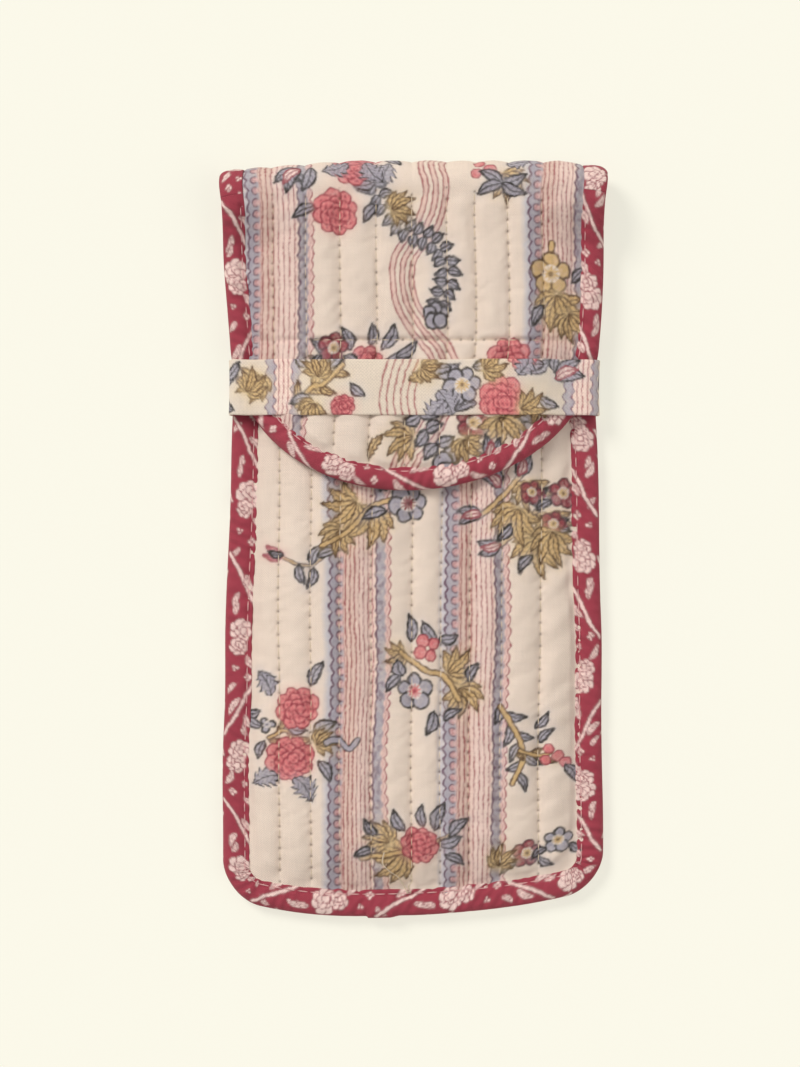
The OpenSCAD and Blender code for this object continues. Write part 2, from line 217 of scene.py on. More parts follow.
def settle(points, on_flap):
    """The hand-made pouch's small departures from its drawn outline, on points of any piece."""
    x, y, z = points[..., 0], points[..., 1], points[..., 2]
    out = np.abs(x) / 48
    squeeze = 1 - 0.014 * hump(y - BAND_Y, 12) - 0.008 * ease((95 - y) / 6) - 0.010 * hump(y - 85, 9)
    squeeze -= 0.013 * ease((-20 - y) / 25)
    lean = 0.25 * np.sin(y / 31 + 0.5) + 0.10 * np.sin(y / 7.3)
    low = ease((BOTTOM + 60 - y) / 60)
    bow = 1.0 + np.where(x > 0, 6.8 * out**1.55, 4.4 * out**3.2) + 0.22 * np.sin(x / 8.5 + 1.0)
    sunk = np.where(x < 0, 1.7 * ease((-x - 12) / 32), 0.5 * ease((x - 36) / 8)) + 0.8 * out**12
    sunk = sunk * ease((y - 50) / 42)
    tip = ease((CURVE_Y + 4 - y) / 30) if on_flap else 0
    slide = -2.2 * tip * np.cos(PI * np.clip(x / 96, -0.5, 0.5))
    return np.stack([x * squeeze + lean + slide, y + bow * low - sunk, z], -1)


def front_base(x, y):
    return POCKET_H * bulge(x, y)


FLAP_HALF = float(half_w(CURVE_Y))
FLAP_END = CURVE_Y - TIP


def flap_low(x, y):
    lying = FLAP_EDGE_Z + (FLAP_CROWN_Z - FLAP_EDGE_Z) * bulge(x, y)
    return lying + (FLAP_FOLD_Z - lying) * ease((y - MOUTH) / (ROOT_Y - MOUTH))


def flap_side(y):
    drop = np.clip((CURVE_Y - y) / FLAP_END, 0, 1)
    return np.where(y >= CURVE_Y, half_w(y), FLAP_HALF * np.sqrt(1 - drop**2))


def flap_edge(x):
    return CURVE_Y - FLAP_END * np.sqrt(np.maximum(0, 1 - (np.abs(x) / FLAP_HALF) ** 2))


def flap_inset(x, y):
    dx = np.maximum(1e-6, flap_side(y) - np.abs(x))
    dy = np.maximum(1e-6, y - flap_edge(x))
    return dx * dy / np.hypot(dx, dy)


# ---------------------------------------------------------------- cloth print
CREAM = (238, 219, 203)
PINK_GROUND = (240, 211, 200)
TAN_GROUND = (214, 180, 162)
PINK = (214, 110, 115)
PALE_PINK = (232, 158, 152)
ROSE_LINE = (150, 40, 60)
RED_LINE = (154, 60, 70)
CRIMSON = (142, 40, 58)
OCHRE = (212, 176, 120)
PALE_OCHRE = (224, 196, 148)
OCHRE_LINE = (84, 54, 30)
BLUE = (165, 159, 171)
PALE_BLUE = (196, 193, 203)
BLUE_LINE = (18, 14, 16)
PLUM_LINE = (92, 48, 78)
RASPBERRY = (160, 34, 62)
BLOSSOM = (250, 219, 211)
VEIN = (150, 62, 76)
# The next colour is painted shade: the dark inside the quilting's needle holes
HOLE_SHADE = (96, 68, 44)
LOOP_PINK = (228, 186, 182)
EDGE_PINK = (230, 192, 184)
RIBBON_PINK = (228, 176, 168)
BAND_GROUND = (224, 208, 190)
INKS = {
    "blue": (BLUE, PALE_BLUE, BLUE_LINE),
    "ochre": (OCHRE, PALE_OCHRE, OCHRE_LINE),
    "pink": (PINK, PALE_PINK, ROSE_LINE),
    "crimson": (CRIMSON, PINK, (92, 30, 44)),
    "pale": (BLOSSOM, (248, 222, 212), VEIN),
}


class Print:
    """A piece of printed cloth as an array of linear colours, one every DOT."""

    def __init__(self, x0, y0, width, length, ground, seed):
        self.x0, self.y0 = x0, y0
        nx, ny = int(width / DOT) + 2, int(length / DOT) + 2
        self.rgb = np.empty((ny, nx, 3))
        self.rgb[:] = linear(ground)
        drift, rough = 0.40, 0.13
        xs, ys = x0 + DOT * np.arange(nx), y0 + DOT * np.arange(ny)
        self.x = xs[None, :] + drift * noise_grid(ny, nx, 75, seed)
        self.y = ys[:, None] + drift * noise_grid(ny, nx, 60, seed + 1)
        for cell in (9, 3.2):
            self.x += rough * noise_grid(ny, nx, cell, seed + 7)
            self.y += rough * noise_grid(ny, nx, cell, seed + 8)
        self.take = 0.90 + 0.14 * noise_grid(ny, nx, 7, seed + 2) + 0.20 * noise_grid(ny, nx, 1.9, seed + 3)
        self.whole = (slice(None), slice(None))

    def window(self, x, y, reach):
        j = np.clip(np.array([x - reach, x + reach]) - self.x0, 0, None) / DOT
        i = np.clip(np.array([y - reach, y + reach]) - self.y0, 0, None) / DOT
        return slice(int(i[0]), int(i[1]) + 1), slice(int(j[0]), int(j[1]) + 1)

    def local(self, part, x, y, degrees):
        dx, dy = self.x[part] - x, self.y[part] - y
        c, s = math.cos(math.radians(degrees)), math.sin(math.radians(degrees))
        return c * dx + s * dy, c * dy - s * dx

    def cover(self, part, amount, colour):
        amount = np.clip(amount, 0, 1)[..., None]
        self.rgb[part] = self.rgb[part] * (1 - amount) + linear(colour) * amount

    def ink(self, part, distance, colour, strength=1.0, soft=0.20):
        """Lays ink where distance is negative, a little uneven, as a wood block prints it."""
        if self.rgb[part].size:
            inside = np.clip(0.5 - distance / soft, 0, 1)
            self.cover(part, inside * strength * np.clip(self.take[part], 0, 1), colour)

    def line(self, part, distance, colour, width=0.32, strength=1.0):
        self.ink(part, np.abs(distance) - width / 2, colour, strength, 0.13)

    def wash(self, part, distance, colour, strength=0.3, reach=0.8):
        """Ink that has spread thinly outside its shape."""
        if self.rgb[part].size:
            fade = np.exp(-np.maximum(0, distance) / reach)
            self.cover(part, fade * strength * (distance < 4 * reach), colour)

    def sample(self, x, y):
        j = np.clip((x - self.x0) / DOT, 0, self.rgb.shape[1] - 1.001)
        i = np.clip((y - self.y0) / DOT, 0, self.rgb.shape[0] - 1.001)
        j0, i0 = np.floor(j).astype(int), np.floor(i).astype(int)
        fj, fi = (j - j0)[..., None], (i - i0)[..., None]
        top = self.rgb[i0, j0] * (1 - fj) + self.rgb[i0, j0 + 1] * fj
        low = self.rgb[i0 + 1, j0] * (1 - fj) + self.rgb[i0 + 1, j0 + 1] * fj
        return top * (1 - fi) + low * fi


def leaf(p, x, y, length, width, degrees, ink="blue", teeth=0.0, line=0.66):
    """A pointed leaf that starts at x, y and grows along its angle, plain or toothed."""
    fill, pale, dark = INKS[ink]
    part = p.window(x, y, length + 2)
    if not p.rgb[part].size:
        return
    u, v = p.local(part, x, y, degrees)
    t = np.clip(u / length, 0, 1)
    v = v - 0.10 * length * np.sin(PI * t) * (1 if int(x + y) % 2 else -1)
    half = width / 2 * np.sin(PI * t**0.8) ** 0.8
    half = half * (1 - teeth * ((u / 1.6) % 1.0))
    d = np.maximum(np.abs(v) - half, np.maximum(-u, u - length))
    if ink != "pale":
        p.wash(part, d, pale, 0.38, 0.7)
    p.ink(part, d, fill, 1.0, 0.35)
    p.ink(part, np.maximum(d + 0.28 * width, v), pale, 0.5, 0.5)
    rib = np.abs((u - 1.1 * np.abs(v)) % 1.45 - 0.72) - 0.13
    p.ink(part, np.maximum(rib, d + 0.2), dark, 0.62)
    p.ink(part, np.maximum(np.abs(v) - 0.33 * line, d + 0.15), dark, 0.9)
    p.line(part, d, dark, line)


def petals(p, x, y, radius, count, out, size, degrees, ink, line=0.42):
    """A ring of overlapping round petals, each with its own outline."""
    fill, pale, dark = INKS[ink]
    part = p.window(x, y, radius * 1.5 + 1)
    if not p.rgb[part].size:
        return
    u, v = p.local(part, x, y, degrees)
    for k in range(count):
        a = 2 * PI * k / count
        wobble = 1 + 0.12 * math.sin(5 * k + x)
        px, py = out * radius * math.cos(a), out * radius * math.sin(a)
        d = np.hypot(u - px, v - py) - size * radius * wobble
        p.ink(part, d, fill, 1.0, 0.3)
        inner_ring = np.abs(d + 0.26 * size * radius) - 0.16 * size * radius
        p.ink(part, np.maximum(inner_ring, 0), pale, 0.42, 0.4)
        p.line(part, d, dark, line, 0.95)


def rose(p, x, y, radius, degrees, ink="pink"):
    """A full rose as a clump of small petals."""
    part = p.window(x, y, radius * 1.6)
    if not p.rgb[part].size:
        return
    if ink == "pale":
        petals(p, x, y, radius, 7, 0.60, 0.40, degrees, ink, 0.26)
        petals(p, x, y, radius, 4, 0.24, 0.30, degrees + 25, ink, 0.26)
        return
    _, pale, dark = INKS[ink]
    u, v = p.local(part, x, y, degrees)
    out = np.hypot(u, v)
    p.wash(part, out - radius, pale, 0.25, 0.9)
    for count, reach, size, turn in ((8, 0.66, 0.36, 0), (6, 0.38, 0.32, 25), (3, 0.15, 0.24, 70)):
        petals(p, x, y, radius, count, reach, size, degrees + turn, ink)
    speck = np.sin(3.1 * u + 1.3 * v) * np.sin(2.3 * v - 1.9 * u)
    p.ink(part, np.maximum(0.55 - speck, out - 0.85 * radius), dark, 0.7)
    p.ink(part, np.maximum(0.66 + speck, out - 0.85 * radius), pale, 0.5)


def blossom(p, x, y, radius, degrees, count, ink="blue", heart="pink"):
    """An open flower with separate petals and a rayed heart."""
    fill, _, dark = INKS[heart]
    petals(p, x, y, radius, count, 0.60, 0.40, degrees, ink, 0.62)
    part = p.window(x, y, radius + 1)
    if not p.rgb[part].size:
        return
    u, v = p.local(part, x, y, degrees)
    r, a = np.hypot(u, v), np.arctan2(v, u)
    p.ink(part, r - 0.42 * radius, (236, 222, 212), 0.9)
    p.ink(part, r - radius * (0.30 + 0.10 * np.cos(11 * a)), fill)
    p.ink(part, r - 0.12 * radius, dark, 0.8)


def bud(p, x, y, length, degrees, ink="blue"):
    """A half-open bud between two sepals."""
    for lean in (-16, 16):
        leaf(p, x, y, length, length * 0.42, degrees + lean, ink)
    leaf(p, x, y, length * 0.8, length * 0.34, degrees, "blue" if ink != "blue" else "pale")


def frond(p, x, y, size, degrees):
    """A fan of toothed ochre leaves."""
    for turn, share in ((-78, 0.66), (74, 0.7), (-48, 0.84), (45, 0.88), (-20, 0.98), (18, 1.0)):
        leaf(p, x, y, size * share, size * 0.34, degrees + turn, "ochre", 0.22, 0.50)


def leaves(p, x, y, share, rows):
    """Blue leaves. A row is a leaf's start from x, y, its length and angle. share is width over length."""
    for dx, dy, size, turn in rows:
        leaf(p, x + dx, y + dy, size, size * share, turn)


def smooth_path(points, per_mm=1.5):
    pts = np.array(points, float)
    reach = along_of(pts)
    s = np.linspace(0, reach[-1], max(4, int(reach[-1] * per_mm)))
    return row_weights(len(pts), np.interp(s, reach, np.arange(len(pts)))) @ pts


def along_of(path):
    """The distance along a path of points, at each point."""
    return np.concatenate([[0], np.cumsum(np.hypot(*np.diff(path, axis=0).T))])


def stem(p, points, width, ink="ochre"):
    """A smooth stalk through the points, with a dark outline."""
    fill, _, dark = INKS[ink]
    path = smooth_path(points, 1.0)
    middle, reach = path.mean(0), np.ptp(path, axis=0).max() / 2 + 3
    part = p.window(middle[0], middle[1], reach)
    if not p.rgb[part].size:
        return
    x, y = p.x[part], p.y[part]
    d = np.full(x.shape, 99.0)
    for a, b in zip(path[:-1], path[1:]):
        along = b - a
        t = np.clip(((x - a[0]) * along[0] + (y - a[1]) * along[1]) / (along @ along), 0, 1)
        d = np.minimum(d, np.hypot(x - a[0] - t * along[0], y - a[1] - t * along[1]))
    p.ink(part, d - width / 2, fill)
    p.line(part, d - width / 2, dark, 0.42, 0.95)


def sprig(p, points, ink, size, every, width=0.9):
    """An ochre stem with leaves on alternate sides."""
    path = smooth_path(points)
    step = int(every * 1.5)
    for k, i in enumerate(range(0, len(path) - 2, step)):
        along = math.degrees(math.atan2(*(path[i + 1] - path[i])[::-1]))
        side = 1 if k % 2 else -1
        long = size * (0.85 + 0.3 * ((k * 7) % 3) / 2)
        leaf(p, *path[i], long, size * 0.40, along + side * 48, ink)
    stem(p, points, width)


def berries(p, x, y, radius):
    for dx, dy in ((0, 1.1), (1.6, -0.3), (-0.4, -1.0), (2.8, -1.6)):
        petals(p, x + dx * radius, y + dy * radius, radius, 1, 0.0, 0.9, 0, "pink")


def garland(p, points, size):
    """Small dark-edged leaves in pairs along a curve, ending in a round one."""
    path = smooth_path(points)
    step = max(1, int(size * 0.95 * 1.5))
    for i in range(0, len(path) - 1, step):
        along = math.degrees(math.atan2(*(path[i + 1] - path[i])[::-1]))
        for side in (-1, 1):
            leaf(p, *path[i], size, size * 0.66, along + side * 75, "blue", 0.0, 0.72)
    petals(p, *path[-1], size, 5, 0.5, 0.5, 20, "blue", 0.7)


def stripe(p, x0, x1):
    """Fine red lines on pink. Its left side has a blue band with loops, its right a scalloped one."""
    x, y, whole = p.x, p.y, p.whole
    lines, repeat = 7, 3.05
    lean = 0.25 * np.sin(y / 17.0)
    u, w = x - x0 + lean, x1 - x - lean
    beat = PI * y / repeat
    p.ink(whole, np.maximum(4.2 - u, 4.4 - w), PINK_GROUND, 1.0, 0.5)
    p.ink(whole, np.maximum(4.2 - u, u - 8.4), TAN_GROUND, 0.55, 2.5)
    first, last = x0 + 5.3, x1 - 5.3
    for k in range(lines):
        at = first + (last - first) * k / (lines - 1)
        thin = (0.19 if k < 3 else 0.14) + 0.05 * np.sin(0.5 * y + 2.1 * k) * np.sin(0.13 * y + k)
        thin += 0.03 * np.sin(5 * y + k)
        p.ink(whole, np.abs(x - at + lean) - thin, RED_LINE, 0.95)
    p.ink(whole, np.maximum(-0.1 - u, u - 3.0), PALE_BLUE, 0.9, 1.6)
    wave = 1.95 - 0.75 * np.abs(np.sin(beat))
    p.ink(whole, np.maximum(wave - u, u - 4.6), BLUE, 0.92, 0.4)
    loop_y = (y + 1.52) % repeat - 1.52
    loop = np.hypot((u - 3.75) * 1.05, loop_y)
    p.ink(whole, loop - 1.0, LOOP_PINK, 0.95)
    p.ink(whole, np.maximum(np.abs(loop - 0.98) - 0.22, u - 4.2), PLUM_LINE, 0.9)
    p.ink(whole, np.maximum(np.abs(loop - 0.40) - 0.13, u - 4.0), ROSE_LINE, 0.7)
    p.line(whole, u - wave, PLUM_LINE, 0.60, 0.95)
    p.line(whole, u - 4.75, RED_LINE, 0.22, 0.6)
    edge = 1.25 - 0.72 * np.abs(np.sin(beat + 0.7))
    p.ink(whole, np.maximum(edge - w, w - 2.2), EDGE_PINK, 0.95)
    p.ink(whole, np.maximum(2.0 + 0.25 * np.sin(2 * beat) - w, w - 4.2), BLUE, 0.92, 0.4)
    blot = noise_grid(*x.shape, 5, int(x0 * 7) % 97)
    p.ink(whole, np.maximum(0.30 - blot, np.maximum(2.3 - w, w - 4.0)), PLUM_LINE, 0.45, 0.5)
    p.line(whole, w - 4.25 - 0.18 * np.sin(2 * beat), PLUM_LINE, 0.55, 0.9)
    p.line(whole, w - edge, ROSE_LINE, 0.42, 0.9)
    p.line(whole, w - edge - 0.9, ROSE_LINE, 0.18, 0.5)


def ribbon(p, points, half, fill=0.5):
    """A band of six fine red lines that winds along the cloth. points are pairs of y and middle x."""
    x, y, whole, lines = p.x, p.y, p.whole, 6
    at = np.array(points, float)
    ys = np.linspace(at[0, 0], at[-1, 0], 240)
    xs = row_weights(len(at), np.interp(ys, at[:, 0], np.arange(len(at)))) @ at[:, 1]
    centre = np.interp(y, ys, xs)
    slope = np.interp(y, ys, np.gradient(xs, ys))
    u = (x - centre) / np.hypot(1, slope)
    ends = np.maximum(at[0, 0] - y, y - at[-1, 0])
    for k in range(lines):
        place = half * (2 * k / (lines - 1) - 1)
        if k % 2 == 0:
            p.ink(whole, np.maximum(np.abs(u - place - half / (lines - 1)) - 0.55, ends), RIBBON_PINK, fill)
        p.ink(whole, np.maximum(np.abs(u - place) - 0.21, ends), RED_LINE, 0.95)


def holly(p, x, y, size, degrees):
    leaf(p, x, y, size, size * 0.95, degrees, "blue", 0.5, 0.52)


def rose_spray(p, x, y):
    """Two roses, one above the other, among blue leaves, with an ochre stem between them."""
    sprig(p, [(x - 6, y - 4), (x - 1, y - 2), (x + 5, y - 8)], "ochre", 4.0, 3.0)
    leaves(p, x, y, 0.46, [(5, 10, 6.5, 62), (5.5, -3, 7, 30), (-8, -1, 5.5, 150), (-7, -5, 5, 250),
                           (-1, -1, 5, 350), (-5, 9, 5, 120), (7, -10, 6, 300), (-8.5, 3, 4.5, 190)])
    holly(p, x - 5.5, y + 7.5, 6.5, 118)
    frond(p, x + 6.5, y - 5.5, 5.5, 20)
    rose(p, x + 1.4, y + 4.2, 5.6, 20)
    rose(p, x - 0.4, y - 9.5, 6.2, 65)
    holly(p, x - 3.5, y - 14.5, 7.0, 205)
    holly(p, x + 1.0, y - 14.5, 7.5, 305)
    blossom(p, x - 6.5, y - 0.5, 2.2, 10, 3, "blue", "blue")
    stem(p, [(x + 9, y - 5), (x + 12, y - 4), (x + 15, y - 6.5), (x + 17.5, y - 4)], 1.5, "blue")


def mixed_spray(p, x, y):
    """A blue blossom below an ochre and pink branch."""
    frond(p, x - 3.2, y + 9.5, 5.5, 185)
    frond(p, x + 9.0, y + 5.0, 8.0, 30)
    frond(p, x + 12.0, y + 1.0, 8.0, 290)
    stem(p, [(x - 4, y + 10), (x + 3, y + 5.5), (x + 8, y + 4), (x + 12, y - 2)], 1.4)
    leaves(p, x, y, 0.46, [(-1, 13, 6.5, 95), (5.5, 13, 6.0, 125), (6.5, 13, 5.0, 15), (14, 3, 5.0, 60),
                           (-4, 4, 5.5, 230), (5.5, -5, 6.5, 250), (8, -7, 5.0, 30)])
    petals(p, x + 3.2, y + 11.0, 3.0, 4, 0.7, 0.5, 30, "pink")
    blossom(p, x, y, 4.9, 20, 5)
    leaf(p, x - 3.5, y + 4.0, 4.2, 3.6, 110)


def berry_vine(p, x, y):
    """An ochre vine with dark leaves and a cluster of berries."""
    sprig(p, [(x - 10, y + 11), (x - 6, y + 4), (x - 4, y - 3), (x - 7, y - 10)], "blue", 5.6, 3.0, 1.4)
    sprig(p, [(x - 5, y - 1), (x, y - 3), (x + 3, y - 2)], "ochre", 3.6, 3.0, 1.0)
    berries(p, x + 2.6, y - 2.6, 1.55)
    leaf(p, x + 7, y - 6, 6.0, 2.9, 300)
    leaf(p, x - 1, y + 5, 5.5, 2.2, 55)
    leaf(p, x, y + 1, 5.5, 2.2, 45)


def low_spray(p, x, y):
    """One rose between ochre and blue leaves."""
    frond(p, x - 4, y - 2.5, 9.5, 200)
    frond(p, x - 8, y + 1, 7.0, 150)
    stem(p, [(x - 15, y - 3), (x - 9, y - 2.5), (x, y - 1), (x + 8, y + 2)], 1.3)
    leaves(p, x, y, 0.44, [(4, 4, 7, 65), (5, 0, 6.5, 15), (-4, 4, 6, 115), (1, 5, 5.5, 90), (-11, 3, 5, 130),
                           (8, 2, 6.5, 40), (7, -3, 5.5, 330), (-12, -1, 5, 200)])
    rose(p, x, y, 4.9, 120)


def bell_spray(p, x, y):
    """Blue bells above an ochre frond."""
    frond(p, x + 2.5, y - 4, 10.0, 262)
    frond(p, x + 5.5, y + 3, 8.0, 290)
    stem(p, [(x - 8, y - 6), (x - 1, y), (x + 5, y + 7)], 1.3)
    for dx, dy, turn in ((-2, 2, 130), (3, 5, 75), (-7, -5, 190), (5, -1, 10)):
        bud(p, x + dx, y + dy, 6.2, turn)
    blossom(p, x + 6.5, y + 0.5, 3.2, 0, 5, "crimson", "ochre")
    leaf(p, x + 1, y - 8, 5.5, 2.4, 230)


def side_sprig(p, x, y):
    """A thin stem with one pink bud and dark leaves."""
    stem(p, [(x - 4, y + 1), (x + 2, y - 2), (x + 6, y - 2), (x + 10, y + 2)], 0.7)
    bud(p, x - 2, y + 0.6, 5.0, 165, "pink")
    leaves(p, x, y, 0.4, [(2, -2, 5.5, 290), (5, -2, 6, 60), (7, 0, 5.5, 20), (6, -3, 5.5, 255)])


def small_pair(p, x, y, ink):
    blossom(p, x, y, 3.8, 10, 5, ink, "ochre")
    for side, turn in ((1, 325), (-1, 215)):
        leaf(p, x + 3.0 * side, y - 2.0, 4.6, 2.1, turn)


SPRAYS = [rose_spray, mixed_spray, berry_vine, low_spray, bell_spray]


def front_print():
    """The front panel's cloth: two stripes, with sprays between them and beside them."""
    p = Print(-PANEL_HALF - 2, BOTTOM - 1, 2 * PANEL_HALF + 4, MOUTH - BOTTOM + 4, CREAM, 11)
    stripe(p, -23.2, -5.8)
    stripe(p, 6.9, 25.2)
    side_sprig(p, -32.0, -4.0)
    frond(p, -11.0, 8.0, 10.0, 245)
    frond(p, -15.0, 10.0, 9.0, 200)
    frond(p, -19.0, 3.0, 7.0, 240)
    stem(p, [(-24, -1), (-17, 3), (-11, 9), (-4, 11)], 1.3)
    blossom(p, -1.8, 9.6, 5.0, 10, 6, "blue", "crimson")
    leaf(p, -7.5, 8.0, 6.4, 2.8, 200)
    leaf(p, -9, 13, 6, 2.8, 60)
    bell_spray(p, 29.5, 4.0)
    bell_spray(p, 24.0, 12.0)
    frond(p, 36.0, 2.0, 9.0, 268)
    small_pair(p, 38.5, 12.5, "crimson")
    rose_spray(p, -31.8, -46.6)
    mixed_spray(p, 0.4, -38.4)
    berry_vine(p, 33.0, -53.4)
    low_spray(p, 1.4, -78.6)
    small_pair(p, 30.0, -83.6, "crimson")
    small_pair(p, 38.0, -81.0, "blue")
    frond(p, 22.5, -86.0, 6.0, 60)
    rose_spray(p, -32.0, 48.0)
    low_spray(p, 2.0, 40.0)
    berry_vine(p, 34.0, 50.0)
    return p


def panel_print():
    """The back-and-flap panel: y runs up the flap, then on over the fold and down the back."""
    length = FOLD_Y + PI * FOLD_R + (FOLD_Y - BOTTOM) - TIP + 4
    p = Print(-PANEL_HALF - 2, TIP - 2, 2 * PANEL_HALF + 4, length, CREAM, 31)
    stripe(p, -44.6, -25.6)
    stripe(p, 28.4, 46.0)
    turns = [(10, -3), (17, -1.5), (22, 0.7), (27, 4.6), (31, 7), (38, 9.5), (44, 9), (49, 6.4), (55, 1.4),
             (61, -2.3), (67, -3.3), (73, -2), (79, 2.6), (84, 5), (91, 5.8), (97, 4.4)]
    turns += [(104 + 15 * k, 5 - 9 * (k % 2)) for k in range(14)]
    ribbon(p, turns, 3.3)
    garland(p, [(-12, 96), (-8.5, 88), (-4.8, 82.5), (-0.5, 79), (4, 77), (8, 73), (9, 67.5), (7.6, 63.5),
                (5.6, 58)], 3.4)
    leaves(p, 0, 0, 0.46, [(-25.5, 86, 6.0, 200), (-11.5, 89, 7.0, 120), (-9.5, 86, 5.5, 230),
                           (-15, 91, 6, 15), (-27, 91, 5, 120), (-8.5, 95.5, 7.5, 150), (-26, 97, 7, 250),
                           (-34, 96, 6, 330)])
    holly(p, -9.5, 92.0, 7.0, 60)
    rose(p, -20.2, 84.4, 5.7, 10)
    rose(p, -15.6, 96.4, 5.4, 60)
    frond(p, -5.5, 85.0, 6.5, 5)
    bud(p, -29.0, 97.0, 7.5, 225)
    berries(p, 17.0, 96.0, 1.7)
    frond(p, 23.0, 94.0, 8.0, 300)
    for turn in (25, 150, 205, 340):
        leaf(p, 23.0, 91.5, 6.8, 3.0, turn)
    holly(p, 24, 98, 6.0, 20)
    stem(p, [(36, 76), (35, 68), (37, 60), (40, 55)], 1.3)
    blossom(p, 35.6, 68.4, 5.2, 18, 5, "ochre", "ochre")
    frond(p, 37.0, 63.0, 9.5, 280)
    frond(p, 40.0, 58.0, 7.5, 300)
    leaf(p, 33.6, 60.5, 5.8, 2.6, 240)
    leaf(p, 41.0, 66.5, 5.8, 2.4, 40)
    low_spray(p, -12.5, 45.0)
    small_pair(p, -21.0, 49.5, "crimson")
    rose(p, 25.0, 47.0, 5.4, 30)
    holly(p, 30, 44, 6, 20)
    frond(p, 1.5, 26.5, 8.0, 195)
    leaf(p, -6.5, 27.0, 6.8, 2.6, 240, "ochre", 0.4)
    garland(p, [(3.0, 36), (4.0, 30), (7.5, 25), (11.5, 19.5)], 4.6)
    blossom(p, 17.2, 30.0, 4.4, 0, 5, "crimson", "ochre")
    frond(p, 23.5, 31.5, 9.0, 285)
    frond(p, 14.5, 25.5, 6.5, 300)
    bud(p, 20.0, 20.5, 6.4, 75)
    leaf(p, 28.0, 34.0, 6.0, 2.6, 320)
    leaf(p, 11.0, 34.0, 6.0, 2.8, 100)
    frond(p, 32.0, 37.0, 7.5, 250)
    rng = np.random.default_rng(5)
    for k, y in enumerate(np.arange(TOP + 14, TIP + length - 8, 23)):
        for j, x in enumerate((-15, 17)):
            SPRAYS[(2 * k + j) % 5](p, x + rng.uniform(-3, 3), y + 10 * j + rng.uniform(-2, 2))
    return p


def cross_stripe(p, x, half):
    """A stripe as it lies on the band, across its length."""
    p.ink(p.whole, np.abs(p.x - x) - half, PINK_GROUND, 0.9, 0.5)
    for k in range(5):
        p.line(p.whole, p.x - x - 0.42 * half * (k - 2) * 0.9, RED_LINE, 0.34, 0.9)
    for side in (-1, 1):
        u = (p.x - x) * side - half
        wave = 0.4 * np.sin(2 * PI * p.y / 3.0)
        p.ink(p.whole, np.abs(u - wave) - 1.2, BLUE, 0.9, 0.4)
        p.line(p.whole, np.abs(u - wave) - 1.1, PLUM_LINE, 0.3, 0.85)


def band_print(length):
    """Cut across the cloth, so its stripes run across the band."""
    p = Print(-length / 2 - 1, -9, length + 2, 18, BAND_GROUND, 51)
    for x in (-35.0, 45.0, -98, -72, 72, 97):
        cross_stripe(p, x, 3.6)
    ribbon(p, [(-9, -3.5), (-3, -4.6), (3, -3.6), (9, -1.6)], 4.4, 0.0)
    frond(p, -42.0, 3.0, 7.5, 235)
    frond(p, -45.0, -1.0, 6.5, 60)
    sprig(p, [(-31, -5), (-27, 0), (-24, 1), (-19, 6)], "ochre", 5.0, 2.6, 1.3)
    leaves(p, 0, 0, 0.46, [(-27, -3, 6, 195), (-22.5, 5, 6, 40), (-21, -4, 5.5, 300), (5, 3, 7, 25),
                           (6, -3, 6, 340), (9, 5, 6, 200), (30, 4, 6.5, 30), (33, -3, 6, 340),
                           (37, 4, 5.5, 80), (16, -4, 6, 200), (-28, 5, 5.5, 130), (15, 5, 6, 20),
                           (34, 6, 6, 200), (-13, -2, 5, 140)])
    frond(p, -25.5, 3.0, 6.0, 95)
    frond(p, -26.0, -4.5, 6.0, 250)
    rose(p, -18.4, -4.8, 3.2, 40)
    leaf(p, -1.5, 1.6, 8.5, 4.0, 35, "ochre", 0.35)
    blossom(p, 12.2, 0.4, 4.9, 8, 6, "blue", "ochre")
    holly(p, 6.0, -1.0, 7.5, 300)
    holly(p, 8.0, -3.5, 7.5, 235)
    frond(p, 1.5, 5.0, 5.5, 350)
    rose(p, 28.0, 8.2, 4.0, 20)
    rose(p, 23.0, -3.8, 6.4, 15)
    frond(p, 18.0, 4.5, 6.5, 30)
    frond(p, 28.5, -6.0, 7.0, 20)
    bud(p, 37.5, 2.4, 8.0, 20)
    holly(p, 27.0, 3.0, 6.5, 60)
    for k, x in enumerate((-106, -86, -60, 58, 84, 108)):
        (low_spray, mixed_spray)[k % 2](p, x, 0)
    return p


def binding_print(length, width, seed):
    """Raspberry ground with pale roses, twigs and leaves that wander over the strip's two faces."""
    p = Print(0, -1, length, width + 2, RASPBERRY, seed)
    p.take = np.minimum(1, p.take + 0.12)
    rng = np.random.default_rng(seed)
    for face in (3.2, 12.0):
        s = rng.uniform(-6, 6)
        while s < length + 8:
            side = rng.choice([-1, 1])
            turn = rng.uniform(-30, 30)
            twig = [(-3, -4.0), (1, -1.2), (6, 1.0), (12, 4.5)]
            stem(p, [(s + along, face + across * side) for along, across in twig], 1.15, "pale")
            leaf(p, s + 2.0, face + 0.6 * side, 5.5, 1.9, 38 * side + rng.uniform(-12, 12), "pale", 0, 0.22)
            leaf(p, s + 6.5, face - 1.0 * side, 5.0, 1.7, -24 * side + rng.uniform(-12, 12), "pale", 0, 0.22)
            rose(p, s + 16.5, face + rng.uniform(-0.8, 0.8), rng.uniform(3.1, 3.7), turn, "pale")
            rose(p, s + 20.4, face + rng.uniform(-1.0, 1.0), rng.uniform(2.3, 2.9), turn, "pale")
            leaf(p, s + 22.6, face + 1.2 * side, 4.6, 1.8, 30 * side, "pale", 0, 0.22)
            leaf(p, s + 12.4, face - 2.2 * side, 3.6, 1.5, 160 * side, "pale", 0, 0.22)
            petals(p, s + 28.5, face + 1.4 * side, 1.0, 4, 0.6, 0.5, 0, "pale", 0.2)
            petals(p, s + 26.0, face - 1.8 * side, 0.8, 3, 0.6, 0.5, 20, "pale", 0.2)
            leaf(p, s + 30.0, face - 1.5 * side, 3.8, 1.5, -40 * side, "pale", 0, 0.22)
            s += rng.uniform(31.0, 35.0)
    return p


